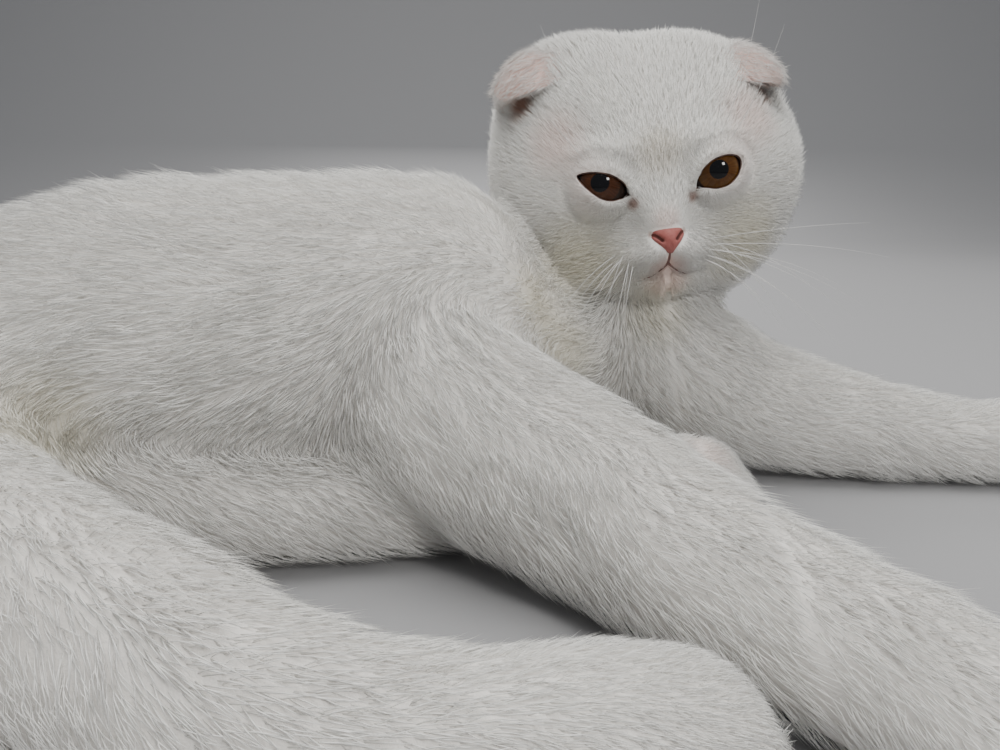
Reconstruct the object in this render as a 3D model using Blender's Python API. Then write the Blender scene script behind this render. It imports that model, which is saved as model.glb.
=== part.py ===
"""A Scottish fold cat lying on its left side with its head raised, at life size.

Lengths are in metres and +Z is up. The origin is on the floor, under the middle of the
torso. The head end of the cat points to +X, and its belly and legs point to -Y. Left and
right are the cat's own. The surfaces give the outline out to the tips of the coat.
"""

import math

import bmesh
import bpy
import numpy as np
from mathutils import Matrix, Vector
from mathutils.bvhtree import BVHTree

CM = 0.01
GAP = 0.00035  # between two pieces that touch
BODY_VOXEL = 0.0028
BODY_TRIANGLES = 3600
HEAD_TRIANGLES = 3000
CELL_MARGIN = 0.45  # cm that the form which takes a limb out of the body stands outside it
CELL_REACH = 3.0  # cm that this form runs on past the last station, to hold the toes

# A station is x, y, z of the middle, then half the size across and half the size upward,
# all in centimetres. The lowest part of each form dips a little below the floor, and what
# dips is cut away, which leaves the small flats that the cat lies on.
TORSO = (
    (12.0, 2.2, 4.5, 3.0, 3.1),
    (10.0, 1.5, 4.8, 3.4, 3.5),
    (8.1, 0.7, 5.3, 4.4, 4.1),
    (6.2, 0.1, 5.75, 6.0, 5.95),
    (4.0, -0.1, 5.9, 7.1, 6.15),
    (0.0, -0.4, 5.9, 7.4, 6.1),
    (-5.5, -0.7, 5.7, 7.4, 6.05),
    (-10.0, -0.6, 4.9, 6.8, 5.35),
    (-13.6, -0.2, 4.1, 5.3, 4.2),
    (-15.6, 0.2, 3.6, 3.6, 3.5),
)
NECK = (
    (9.6, 4.6, 5.9, 3.5, 3.5),
    (11.3, 5.1, 7.6, 3.7, 3.7),
    (13.0, 5.7, 9.6, 3.7, 3.7),
)
# the shoulder that the cat lies on, and the nape over it, which join chest and neck
WITHERS = (
    (1.5, 0.8, 5.8, 6.2, 5.9),
    (5.6, 2.2, 5.4, 5.2, 5.6),
    (9.0, 3.9, 5.0, 4.3, 5.0),
    (12.2, 4.7, 4.6, 3.7, 4.6),
    (14.4, 4.1, 4.1, 3.1, 4.1),
)
TAIL = (
    (-14.6, 0.6, 3.9, 2.6, 2.6),
    (-18.2, 0.2, 2.6, 2.2, 2.2),
    (-21.6, -2.6, 2.0, 2.05, 2.05),
    (-23.2, -7.4, 1.9, 2.0, 2.0),
    (-22.2, -12.2, 1.8, 1.95, 1.95),
    (-19.2, -16.0, 1.6, 1.7, 1.7),
)
LEFT_FORELEG = (
    (11.6, 2.9, 5.0, 3.5, 3.6),
    (14.0, 2.2, 4.8, 3.4, 3.6),
    (17.6, 1.4, 3.1, 2.6, 2.9),
    (22.0, 0.8, 2.1, 2.1, 2.3),
    (26.6, 0.3, 1.6, 1.75, 1.75),
    (29.4, 0.1, 1.6, 1.85, 1.7),
    (31.6, 0.0, 1.5, 1.95, 1.5),
)
RIGHT_FORELEG = (
    (4.3, -2.2, 6.7, 3.8, 4.0),
    (6.5, -5.3, 4.5, 3.3, 3.5),
    (10.9, -8.2, 2.7, 2.8, 3.0),
    (13.8, -11.6, 2.1, 2.35, 2.4),
    (16.5, -15.0, 1.9, 2.05, 2.05),
    (17.8, -17.4, 1.65, 1.95, 1.8),
    (18.8, -19.2, 1.5, 2.0, 1.55),
)
RIGHT_HIND_LEG = (
    (-11.2, -2.6, 5.2, 4.0, 4.2),
    (-9.6, -6.6, 3.9, 3.8, 3.8),
    (-6.4, -10.5, 3.0, 3.1, 3.15),
    (-2.9, -13.0, 2.8, 2.75, 2.9),
    (0.8, -15.1, 2.6, 2.45, 2.6),
    (4.2, -16.7, 2.2, 2.15, 2.3),
    (7.2, -17.1, 1.95, 2.0, 2.05),
    (9.6, -16.8, 1.9, 2.05, 2.0),
    (11.3, -16.4, 1.75, 1.95, 1.8),
)
LEFT_HIND_LEG = (
    (-9.0, -3.6, 3.4, 3.2, 3.2),
    (-5.6, -5.2, 3.0, 2.9, 2.9),
    (-2.2, -6.2, 2.5, 2.4, 2.5),
    (2.8, -6.1, 2.0, 1.9, 2.1),
    (7.6, -5.4, 1.7, 1.6, 1.75),
    (12.0, -4.2, 1.6, 1.65, 1.7),
    (14.9, -3.4, 1.6, 1.7, 1.6),
)

# The stations of each limb, and its lengths, each with the station that it starts at.
LIMBS = {
    "left_foreleg": (
        LEFT_FORELEG,
        (("left_upper_arm", 0), ("left_forearm", 2), ("left_forepaw", 4)),
    ),
    "right_foreleg": (
        RIGHT_FORELEG,
        (("right_upper_arm", 0), ("right_forearm", 2), ("right_forepaw", 4)),
    ),
    "right_hind_leg": (
        RIGHT_HIND_LEG,
        (("right_thigh", 0), ("right_shank", 2), ("right_hind_foot", 5)),
    ),
    "left_hind_leg": (
        LEFT_HIND_LEG,
        (("left_thigh", 0), ("left_shank", 2), ("left_hind_foot", 4)),
    ),
}

# The trunk's cuts: a place on each and the direction across it.
NECK_CUT = ((10.6, 1.7, 8.8), (0.62, 0.08, 0.78))
CHEST_CUT = ((2.0, 0.0, 6.0), (1.0, 0.0, 0.0))
ABDOMEN_CUT = ((-7.0, 0.0, 6.0), (1.0, 0.0, 0.0))
TRUNK_CUT_RADIUS = 0.2
LIMB_CUT_RADIUS = 0.09
TAIL_CUT_RADIUS = 0.045

TOE_RADIUS = 0.64
TOE_REACH = 1.55
TOE_LIFT = -0.3
TOE_SPREAD = 0.88
TOE_SET_BACK = 0.22
TOE_LENGTH = 1.25
TOE_DIP = 0.1

# The head is a ball whose reach from its middle is worked out for each direction. In its
# own frame the face looks along -Y, +X is the cat's left and +Z is up, in centimetres.
HEAD_MIDDLE = (13.6, 3.0, 12.15)
HEAD_YAW = math.radians(-1.8)
HEAD_ROLL = math.radians(-7.4)
HEAD_RINGS = 110
HEAD_SEGMENTS = 144
HEAD_BLEND = 1.5
CROWN_TILT = 0.11

# The large forms of the head: middle, then half sizes. A form off the middle has a twin.
HEAD_FORMS = (
    ((0.0, 0.9, 0.75), (5.3, 4.9, 4.3)),
    ((2.3, 0.5, 1.7), (3.1, 3.7, 3.1)),
    ((2.85, -0.1, -0.75), (3.2, 3.7, 3.15)),
    ((0.0, -1.1, -0.5), (4.3, 3.5, 3.8)),
    ((1.75, -1.0, -2.85), (2.75, 3.0, 2.3)),
)
# Swellings and hollows of the face: place across and up, width, height, and how far the
# face stands out there. One off the middle has a twin.
FACE_SWELLINGS = (
    (0.78, -3.05, 0.95, 0.75, 0.85),
    (0.0, -1.75, 0.8, 1.2, 0.75),
    (0.0, -2.5, 0.6, 0.5, 0.3),
    (0.0, -4.45, 1.05, 0.6, 1.25),
    (1.95, -0.5, 1.15, 0.8, -0.25),
    (1.9, 0.9, 1.5, 0.55, 0.25),
)

EYE_MIDDLE = (1.98, -3.62, -0.45)
EYE_RADIUS = 1.05
LID_THICKNESS = 0.16
LID_BLEND = 0.3
EYE_HALF_LENGTH = 0.98
EYE_UPPER_HEIGHT = 0.5
EYE_LOWER_HEIGHT = 0.48
EYE_TILT = math.radians(27.0)

NOSE_MIDDLE = (0.0, -2.38)
NOSE_HALF_WIDTH = 0.66
NOSE_HALF_HEIGHT = 0.46
NOSE_RELIEF = 0.14
NOSE_DEPTH = 0.5
NOSTRIL_RADIUS = 0.085
MOUTH_APEX = -3.28
MOUTH_HALF_WIDTH = 1.05
MOUTH_DROP = 0.55
MOUTH_GROOVE = 0.07

# The lines of an ear, each by its inner end, its middle and its outer end. The ear rises
# from its root to the crest, folds over there and hangs in front down to its free edge.
EAR_LINES = (
    ((2.5, -0.4, 4.0), (4.1, 1.1, 3.6), (5.1, -0.2, 1.3)),
    ((2.5, -0.6, 4.6), (4.7, 0.7, 4.4), (5.75, -0.5, 2.4)),
    ((2.5, -1.0, 4.7), (4.75, -0.5, 4.85), (6.0, -1.1, 3.6)),
    ((2.6, -1.75, 4.3), (4.6, -1.95, 4.4), (6.0, -1.7, 3.4)),
    ((2.7, -2.2, 3.7), (4.2, -2.95, 3.35), (5.75, -2.15, 3.15)),
)
EAR_THICKNESS = 0.24
LEFT_EAR_SHIFT = (-0.8, 0.0, -0.9)
RIGHT_EAR_SHIFT = (0.6, 0.0, -0.15)

COAT_COLOUR = (0.86, 0.85, 0.82, 1.0)
EAR_COLOUR = (0.85, 0.68, 0.63, 1.0)
EYE_COLOUR = (0.36, 0.15, 0.03, 1.0)
NOSE_COLOUR = (0.78, 0.42, 0.38, 1.0)


def clear_scene():
    for obj in list(bpy.data.objects):
        bpy.data.objects.remove(obj, do_unlink=True)


def make_material(name, colour, roughness):
    material = bpy.data.materials.new(name)
    material.use_nodes = True
    shader = material.node_tree.nodes["Principled BSDF"]
    shader.inputs["Base Color"].default_value = colour
    shader.inputs["Roughness"].default_value = roughness
    return material


def mesh_object(name, points, faces):
    """A new object of these points, in metres, with its faces turned outwards."""
    mesh = bpy.data.meshes.new(name)
    mesh.from_pydata([tuple(point) for point in points], [], faces)
    work = bmesh.new()
    work.from_mesh(mesh)
    bmesh.ops.recalc_face_normals(work, faces=work.faces)
    work.to_mesh(mesh)
    work.free()
    obj = bpy.data.objects.new(name, mesh)
    bpy.context.scene.collection.objects.link(obj)
    return obj


def remove(*objects):
    for obj in objects:
        bpy.data.objects.remove(obj, do_unlink=True)


def apply_modifiers(obj):
    """Replaces the object's mesh by what its modifiers make of it."""
    graph = bpy.context.evaluated_depsgraph_get()
    result = bpy.data.meshes.new_from_object(obj.evaluated_get(graph))
    obj.modifiers.clear()
    obj.data = result


def keep_largest(obj):
    """Drops every loose scrap, and the surface of any hollow that is sealed in."""
    work = bmesh.new()
    work.from_mesh(obj.data)
    left = set(work.verts)
    pieces = []
    while left:
        grown = [left.pop()]
        piece = set(grown)
        while grown:
            for edge in grown.pop().link_edges:
                for vertex in edge.verts:
                    if vertex in left:
                        left.discard(vertex)
                        piece.add(vertex)
                        grown.append(vertex)
        pieces.append(piece)
    pieces.sort(key=len)
    for piece in pieces[:-1]:
        bmesh.ops.delete(work, geom=list(piece), context="VERTS")
    bmesh.ops.triangulate(work, faces=work.faces)
    work.to_mesh(obj.data)
    work.free()


def combine(obj, other, operation):
    """Cuts, joins or crosses the object with the other one."""
    modifier = obj.modifiers.new("combine", "BOOLEAN")
    modifier.operation = operation
    modifier.object = other
    modifier.solver = "EXACT"
    apply_modifiers(obj)
    keep_largest(obj)


def copy_of(obj, name):
    twin = bpy.data.objects.new(name, obj.data.copy())
    bpy.context.scene.collection.objects.link(twin)
    return twin


def smooth_stations(stations, steps):
    """A smooth run through the stations, in metres, with this many steps between two."""
    table = np.array(stations) * CM
    knots = np.vstack([2 * table[0] - table[1], table, 2 * table[-1] - table[-2]])
    rows = []
    for first in range(len(table) - 1):
        a, b, c, d = knots[first : first + 4]
        for step in range(steps):
            t = step / steps
            rows.append(
                b
                + 0.5 * t * (c - a)
                + 0.5 * t**2 * (2 * a - 5 * b + 4 * c - d)
                + 0.5 * t**3 * (3 * b - a - 3 * c + d)
            )
    rows.append(table[-1])
    return np.array(rows)


def unit(vectors):
    return vectors / np.linalg.norm(vectors, axis=-1, keepdims=True)


def swept_form(name, stations, margin=0.0, sides=24, steps=4):
    """A round form through the stations, with domed ends. The margin makes it fatter."""
    rows = smooth_stations(stations, steps)
    middles = rows[:, :3]
    halves = rows[:, 3:] + margin
    along = unit(np.gradient(middles, axis=0))
    across = unit(np.cross(along, (0.0, 0.0, 1.0)))
    upward = np.cross(across, along)
    turn = np.linspace(0, 2 * math.pi, sides, endpoint=False)
    rings = []

    def add_ring(row, reach, shrink):
        middle = middles[row] + along[row] * reach
        wide = np.outer(np.cos(turn), across[row] * halves[row, 0] * shrink)
        tall = np.outer(np.sin(turn), upward[row] * halves[row, 1] * shrink)
        rings.append(middle + wide + tall)

    last = len(rows) - 1
    dome = np.radians((80, 60, 40, 20))
    for angle in dome:
        add_ring(0, -halves[0].mean() * math.sin(angle), math.cos(angle))
    for row in range(len(rows)):
        add_ring(row, 0.0, 1.0)
    for angle in dome[::-1]:
        add_ring(last, halves[last].mean() * math.sin(angle), math.cos(angle))

    points = np.concatenate(rings)
    faces = []
    for ring in range(len(rings) - 1):
        for side in range(sides):
            after = (side + 1) % sides
            low = ring * sides
            faces.append((low + side, low + after, low + sides + after, low + sides + side))
    faces.append(tuple(range(sides)))
    faces.append(tuple(range((len(rings) - 1) * sides, len(rings) * sides)))
    return mesh_object(name, points, faces)


def ball(name, middle, halves, levels=3):
    """A ball, or an egg, with its middle and half sizes in centimetres."""
    mesh = bpy.data.meshes.new(name)
    work = bmesh.new()
    bmesh.ops.create_icosphere(work, subdivisions=levels, radius=1.0)
    size = Matrix.Diagonal((*[half * CM for half in halves], 1.0))
    place = Matrix.Translation(Vector(middle) * CM)
    bmesh.ops.transform(work, matrix=place @ size, verts=work.verts)
    work.to_mesh(mesh)
    work.free()
    obj = bpy.data.objects.new(name, mesh)
    bpy.context.scene.collection.objects.link(obj)
    return obj


def toes(name, stations):
    """Four toes side by side at the end of a paw, the outer two set a little back."""
    end = np.array(stations[-1][:3])
    along = unit(end - np.array(stations[-2][:3]))
    across = unit(np.cross(along, (0.0, 0.0, 1.0)))
    made = []
    for number in range(4):
        place = number - 1.5
        reach = TOE_REACH - TOE_SET_BACK * place**2
        middle = end + along * reach + across * place * TOE_SPREAD
        middle[2] = max(end[2] + TOE_LIFT, TOE_RADIUS - TOE_DIP)
        halves = (TOE_RADIUS * TOE_LENGTH, TOE_RADIUS, TOE_RADIUS)
        tip = ball(f"{name}_toe_{number}", (0.0, 0.0, 0.0), halves)
        turn = Matrix.Rotation(math.atan2(along[1], along[0]), 4, "Z")
        tip.data.transform(Matrix.Translation(Vector(middle) * CM) @ turn)
        made.append(tip)
    return made


def join_smooth(name, pieces, voxel, smoothing, triangles):
    """One closed skin round all the pieces, with the creases between them softened."""
    points = []
    faces = []
    for piece in pieces:
        start = len(points)
        points += [tuple(vertex.co) for vertex in piece.data.vertices]
        faces += [tuple(start + v for v in face.vertices) for face in piece.data.polygons]
    remove(*pieces)
    obj = mesh_object(name, points, faces)
    remesh = obj.modifiers.new("remesh", "REMESH")
    remesh.mode = "VOXEL"
    remesh.voxel_size = voxel
    smooth = obj.modifiers.new("smooth", "SMOOTH")
    smooth.factor = 0.5
    smooth.iterations = smoothing
    apply_modifiers(obj)
    thin_out(obj, triangles)
    return obj


def thin_out(obj, triangles):
    """Fewer, larger triangles where the form is plain."""
    obj.data.calc_loop_triangles()
    modifier = obj.modifiers.new("thin out", "DECIMATE")
    modifier.ratio = min(1.0, triangles / len(obj.data.loop_triangles))
    apply_modifiers(obj)
    keep_largest(obj)


def cut_at_floor(obj):
    """Takes away what dips below the floor and closes the flats."""
    work = bmesh.new()
    work.from_mesh(obj.data)
    geometry = work.verts[:] + work.edges[:] + work.faces[:]
    bmesh.ops.bisect_plane(
        work,
        geom=geometry,
        dist=1e-7,
        plane_co=(0, 0, 0),
        plane_no=(0, 0, 1),
        clear_inner=True,
    )
    open_edges = [edge for edge in work.edges if edge.is_boundary]
    bmesh.ops.holes_fill(work, edges=open_edges)
    bmesh.ops.triangulate(work, faces=work.faces)
    work.to_mesh(obj.data)
    work.free()


def slab(name, middle, direction, radius):
    """A thin round plate, as thick as the gap, that parts two lengths of a form."""
    mesh = bpy.data.meshes.new(name)
    work = bmesh.new()
    bmesh.ops.create_cone(
        work, cap_ends=True, segments=24, radius1=radius, radius2=radius, depth=GAP
    )
    turn = Vector(direction).to_track_quat("Z", "Y").to_matrix().to_4x4()
    bmesh.ops.transform(work, matrix=Matrix.Translation(Vector(middle)) @ turn, verts=work.verts)
    work.to_mesh(mesh)
    work.free()
    obj = bpy.data.objects.new(name, mesh)
    bpy.context.scene.collection.objects.link(obj)
    return obj


def part_off(obj, name, middle, direction, radius):
    """Parts the object by a slab. What lies on the far side becomes a new object."""
    modifier = obj.modifiers.new("part", "BOOLEAN")
    modifier.operation = "DIFFERENCE"
    cutter = slab("cutter", middle, direction, radius)
    modifier.object = cutter
    modifier.solver = "EXACT"
    apply_modifiers(obj)
    remove(cutter)
    far = copy_of(obj, name)
    middle = np.array(middle)
    direction = np.array(direction)
    for piece, wanted in ((obj, -1.0), (far, 1.0)):
        work = bmesh.new()
        work.from_mesh(piece.data)
        wrong = [v for v in work.verts if wanted * direction.dot(np.array(v.co) - middle) < 0]
        bmesh.ops.delete(work, geom=wrong, context="VERTS")
        work.to_mesh(piece.data)
        work.free()
        keep_largest(piece)
    return far


def head_place():
    """The matrix from the head's own frame, in metres, to the cat's."""
    turn = Matrix.Rotation(HEAD_YAW, 4, "Z") @ Matrix.Rotation(HEAD_ROLL, 4, "Y")
    return Matrix.Translation(Vector(HEAD_MIDDLE) * CM) @ turn


def both_sides(across):
    return (1.0,) if across == 0.0 else (1.0, -1.0)


def smooth_most(first, second, blend):
    """The larger of the two, with a soft change from one to the other."""
    near = np.clip(blend - np.abs(first - second), 0.0, None) / blend
    return np.maximum(first, second) + near**2 * blend / 4


def reach_of(form_middle, halves, directions):
    """How far each direction goes from the head's middle to the far side of an egg."""
    middle = np.array(form_middle)
    size = np.array(halves)
    a = ((directions / size) ** 2).sum(axis=1)
    b = -2 * (directions * middle / size**2).sum(axis=1)
    c = ((middle / size) ** 2).sum() - 1
    inside = np.clip(b * b - 4 * a * c, 0.0, None)
    return (-b + np.sqrt(inside)) / (2 * a)


def head_points(directions):
    """The surface of the head in each direction, in centimetres in the head's frame."""
    reach = None
    for middle, halves in HEAD_FORMS:
        for side in both_sides(middle[0]):
            twin = (side * middle[0], middle[1], middle[2])
            found = reach_of(twin, halves, directions)
            reach = found if reach is None else smooth_most(reach, found, HEAD_BLEND)
    points = directions * reach[:, None]
    x, y, z = points[:, 0].copy(), points[:, 1].copy(), points[:, 2].copy()
    z -= CROWN_TILT * x * np.clip(z / 3.0, 0.0, 1.0)
    in_front = np.clip(-directions[:, 1] * 1.6 - 0.15, 0.0, 1.0)
    for across, up, width, height, relief in FACE_SWELLINGS:
        for side in both_sides(across):
            spread = ((x - side * across) / width) ** 2 + ((z - up) / height) ** 2
            y -= in_front * relief * np.exp(-spread)
    for side in (1.0, -1.0):
        apart = np.hypot(x - side * EYE_MIDDLE[0], z - EYE_MIDDLE[2])
        lid_radius = EYE_RADIUS + LID_THICKNESS
        dome = EYE_MIDDLE[1] - np.sqrt(np.clip(lid_radius**2 - apart**2, 0.0, None))
        raised = -smooth_most(-y, -dome, LID_BLEND)
        y = np.where((apart < lid_radius) & (in_front > 0.5), raised, y)
    return np.column_stack([x, y, z])


def head_directions(rings, segments):
    """Unit directions in rings round the face's own axis, closest together on the face."""
    share = np.linspace(0.0, 1.0, rings + 1)[1:-1]
    away = math.pi * (0.45 * share + 0.55 * share**2)
    turn = np.linspace(0, 2 * math.pi, segments, endpoint=False)
    away, turn = np.meshgrid(away, turn, indexing="ij")
    found = np.stack(
        [np.sin(away) * np.cos(turn), -np.cos(away), np.sin(away) * np.sin(turn)], axis=-1
    ).reshape(-1, 3)
    return np.vstack([found, (0.0, -1.0, 0.0), (0.0, 1.0, 0.0)])


def make_head_form():
    """The head without its openings."""
    directions = head_directions(HEAD_RINGS, HEAD_SEGMENTS)
    points = head_points(directions) * CM
    rows = HEAD_RINGS - 1
    front = rows * HEAD_SEGMENTS
    back = front + 1
    faces = []
    for side in range(HEAD_SEGMENTS):
        after = (side + 1) % HEAD_SEGMENTS
        for row in range(rows - 1):
            low = row * HEAD_SEGMENTS
            high = low + HEAD_SEGMENTS
            faces.append((low + side, low + after, high + after, high + side))
        faces.append((side, after, front))
        last = (rows - 1) * HEAD_SEGMENTS
        faces.append((last + side, last + after, back))
    obj = mesh_object("head", points, faces)
    smooth = obj.modifiers.new("smooth", "SMOOTH")
    smooth.factor = 0.5
    smooth.iterations = 2
    apply_modifiers(obj)
    thin_out(obj, HEAD_TRIANGLES)
    return obj


def swollen_copy(obj, name, amount):
    """A copy whose surface stands out by this amount, to cut its neighbour with."""
    twin = copy_of(obj, name)
    modifier = twin.modifiers.new("swell", "DISPLACE")
    modifier.strength = amount
    modifier.mid_level = 0.0
    apply_modifiers(twin)
    return twin


def face_point(tree, across, up):
    """The point of the face at this place across and up, in centimetres."""
    hit = tree.ray_cast(Vector((across * CM, -0.2, up * CM)), Vector((0, 1, 0)))[0]
    return np.array(hit) / CM


def thick_outline(name, outline, front, back):
    """A closed block whose sides follow the outline, between two depths along Y."""
    count = len(outline)
    points = [(x * CM, depth * CM, z * CM) for depth in (front, back) for x, z in outline]
    faces = [tuple(range(count)), tuple(range(count, 2 * count))]
    for side in range(count):
        after = (side + 1) % count
        faces.append((side, after, count + after, count + side))
    return mesh_object(name, points, faces)


def lid_opening(side):
    """The outline between the lids: nearly straight above, round below."""
    outline = []
    for turn in np.linspace(0, 2 * math.pi, 28, endpoint=False):
        along = EYE_HALF_LENGTH * math.cos(turn)
        height = EYE_UPPER_HEIGHT if math.sin(turn) > 0 else EYE_LOWER_HEIGHT
        across = height * math.copysign(abs(math.sin(turn)) ** 1.15, math.sin(turn))
        x = along * math.cos(EYE_TILT) - across * math.sin(EYE_TILT)
        z = along * math.sin(EYE_TILT) + across * math.cos(EYE_TILT)
        outline.append((side * (EYE_MIDDLE[0] + x), EYE_MIDDLE[2] + z))
    return outline


def groove(name, route, radius):
    """A thin tube along the route, in centimetres, that carves a line."""
    curve = bpy.data.curves.new(name, "CURVE")
    curve.dimensions = "3D"
    curve.bevel_depth = radius * CM
    curve.bevel_resolution = 1
    curve.use_fill_caps = True
    spline = curve.splines.new("POLY")
    spline.points.add(len(route) - 1)
    for point, place in zip(spline.points, route):
        point.co = (*(np.array(place) * CM), 1.0)
    guide = bpy.data.objects.new(name, curve)
    bpy.context.scene.collection.objects.link(guide)
    graph = bpy.context.evaluated_depsgraph_get()
    mesh = bpy.data.meshes.new_from_object(guide.evaluated_get(graph))
    remove(guide)
    work = bmesh.new()
    work.from_mesh(mesh)
    bmesh.ops.remove_doubles(work, verts=work.verts, dist=1e-6)
    bmesh.ops.recalc_face_normals(work, faces=work.faces)
    work.to_mesh(mesh)
    work.free()
    obj = bpy.data.objects.new(name, mesh)
    bpy.context.scene.collection.objects.link(obj)
    return obj


def mouth_routes(tree):
    """The line under the nose and the two sides of the mouth, laid on the face."""
    top = NOSE_MIDDLE[1] - NOSE_HALF_HEIGHT * 0.8
    down = [face_point(tree, 0.0, up) for up in np.linspace(top, MOUTH_APEX, 5)]
    routes = [down]
    for side in (1.0, -1.0):
        route = []
        for share in np.linspace(0.02, 1.0, 9):
            across = side * MOUTH_HALF_WIDTH * share
            up = MOUTH_APEX - MOUTH_DROP * math.sin(share * math.pi * 0.62)
            route.append(face_point(tree, across, up))
        routes.append(route)
    return routes


def make_nose(tree):
    """The bare pad of the nose: a rounded wedge, broad above and pointed below."""
    outline = []
    for turn in np.linspace(0, 2 * math.pi, 20, endpoint=False):
        up = math.sin(turn)
        width = NOSE_HALF_WIDTH * (0.62 + 0.38 * up) if up > 0 else NOSE_HALF_WIDTH
        width *= 1.0 if up > 0 else 1.0 + 0.62 * up
        x = width * math.cos(turn)
        z = NOSE_MIDDLE[1] + NOSE_HALF_HEIGHT * (up if up < 0 else 0.9 * up)
        outline.append((x, z))
    count = len(outline)
    layers = ((0.45, NOSE_RELIEF), (0.8, NOSE_RELIEF * 0.8), (1.0, 0.0), (0.8, -NOSE_DEPTH))
    points = [face_point(tree, 0.0, NOSE_MIDDLE[1]) - (0.0, NOSE_RELIEF * 1.05, 0.0)]
    for shrink, relief in layers:
        for x, z in outline:
            place = (x * shrink, NOSE_MIDDLE[1] + (z - NOSE_MIDDLE[1]) * shrink)
            points.append(face_point(tree, *place) - (0.0, relief, 0.0))
    faces = [(0, 1 + side, 1 + (side + 1) % count) for side in range(count)]
    for layer in range(len(layers) - 1):
        low = 1 + layer * count
        for side in range(count):
            after = (side + 1) % count
            faces.append((low + side, low + after, low + count + after, low + count + side))
    faces.append(tuple(range(1 + (len(layers) - 1) * count, 1 + len(layers) * count)))
    nose = mesh_object("nose", np.array(points) * CM, faces)
    bed = swollen_copy(nose, "nose bed", GAP * 1.2)
    for side in (1.0, -1.0):
        route = []
        for share in np.linspace(0.0, 1.0, 5):
            across = side * (0.2 + 0.34 * share)
            up = NOSE_MIDDLE[1] - 0.13 + 0.16 * math.sin(share * math.pi * 0.8)
            route.append(face_point(tree, across, up) - (0.0, NOSE_RELIEF * 0.6, 0.0))
        nostril = groove("nostril", route, NOSTRIL_RADIUS)
        combine(nose, nostril, "DIFFERENCE")
        remove(nostril)
    return nose, bed


def through_three(first, middle, last, share):
    """The point at this share of the smooth arc through three points."""
    ends = np.array(first) * (1 - share) * (1 - 2 * share) + np.array(last) * share * (2 * share - 1)
    return ends + np.array(middle) * 4 * share * (1 - share)


def make_ear(name, side, shift):
    """A small ear whose tip is folded forward and down over its opening."""
    places = np.linspace(0.0, 1.0, 13)
    rows = []
    for place in places:
        lines = [[*through_three(*line, place), 0.0, 0.0] for line in EAR_LINES]
        rows.append(smooth_stations(lines, 3)[:, :3])
    across = len(rows[0])
    points = np.concatenate(rows) * (side, 1.0, 1.0) + np.array(shift) * CM
    faces = []
    for row in range(len(rows) - 1):
        for step in range(across - 1):
            low = row * across + step
            faces.append((low, low + 1, low + across + 1, low + across))
    ear = mesh_object(name, points, faces)
    wall = ear.modifiers.new("wall", "SOLIDIFY")
    wall.thickness = EAR_THICKNESS * CM
    wall.offset = 0.0
    apply_modifiers(ear)
    work = bmesh.new()
    work.from_mesh(ear.data)
    bmesh.ops.recalc_face_normals(work, faces=work.faces)
    work.to_mesh(ear.data)
    work.free()
    return ear


def make_head():
    """The head with its eyes, nose and ears, and the swollen form that cuts the body."""
    head = make_head_form()
    whole = swollen_copy(head, "whole head", GAP * 1.2)
    tree = BVHTree.FromObject(head, bpy.context.evaluated_depsgraph_get())
    pieces = [head]
    for side, name in ((1.0, "eye_left"), (-1.0, "eye_right")):
        middle = (side * EYE_MIDDLE[0], EYE_MIDDLE[1], EYE_MIDDLE[2])
        eye = ball(name, middle, (EYE_RADIUS,) * 3)
        socket_radius = EYE_RADIUS + 1.2 * GAP / CM
        socket = ball("socket", middle, (socket_radius,) * 3)
        opening = thick_outline(
            "opening", lid_opening(side), EYE_MIDDLE[1] - 3.0, EYE_MIDDLE[1] - 0.35
        )
        combine(head, opening, "DIFFERENCE")
        combine(head, socket, "DIFFERENCE")
        remove(socket, opening)
        pieces.append(eye)
    nose, nose_bed = make_nose(tree)
    combine(head, nose_bed, "DIFFERENCE")
    remove(nose_bed)
    for route in mouth_routes(tree):
        line = groove("mouth line", route, MOUTH_GROOVE)
        combine(head, line, "DIFFERENCE")
        remove(line)
    pieces.append(nose)
    ears = ((1.0, "ear_left", LEFT_EAR_SHIFT), (-1.0, "ear_right", RIGHT_EAR_SHIFT))
    for side, name, shift in ears:
        ear = make_ear(name, side, shift)
        combine(ear, whole, "DIFFERENCE")
        pieces.append(ear)
    for piece in [*pieces, whole]:
        piece.data.transform(head_place())
    return pieces, whole


def make_body(whole_head):
    """Torso, neck, legs and tail as one smooth form, cut clear of the head."""
    forms = [
        swept_form("torso", TORSO),
        swept_form("neck", NECK),
        swept_form("withers", WITHERS),
        swept_form("tail", TAIL),
    ]
    for name, (stations, _) in LIMBS.items():
        forms.append(swept_form(name, stations))
        forms += toes(name, stations)
    body = join_smooth("torso", forms, BODY_VOXEL, 6, BODY_TRIANGLES)
    cut_at_floor(body)
    combine(body, whole_head, "DIFFERENCE")
    return body


def direction_at(stations, number):
    table = np.array(stations)[:, :3]
    low = max(number - 1, 0)
    high = min(number + 1, len(table) - 1)
    return unit(table[high] - table[low])


def cut_off(obj, name, stations, number, radius):
    """Parts the object across its own direction at a station."""
    place = np.array(stations[number][:3]) * CM
    return part_off(obj, name, place, direction_at(stations, number), radius)


def take_limb(body, name):
    """Takes a limb out of the body and parts it at its joints."""
    stations, lengths = LIMBS[name]
    reach = np.array(stations)
    reach[-1, :3] += CELL_REACH * direction_at(stations, len(stations) - 1)
    limb = copy_of(body, lengths[0][0])
    cell = swept_form("cell", reach, CELL_MARGIN * CM, 16, 2)
    bed = swept_form("bed", reach, CELL_MARGIN * CM + GAP * 1.2, 16, 2)
    combine(limb, cell, "INTERSECT")
    combine(body, bed, "DIFFERENCE")
    remove(cell, bed)
    pieces = [limb]
    for piece_name, number in lengths[1:]:
        pieces.append(cut_off(pieces[-1], piece_name, stations, number, LIMB_CUT_RADIUS))
    return pieces


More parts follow.
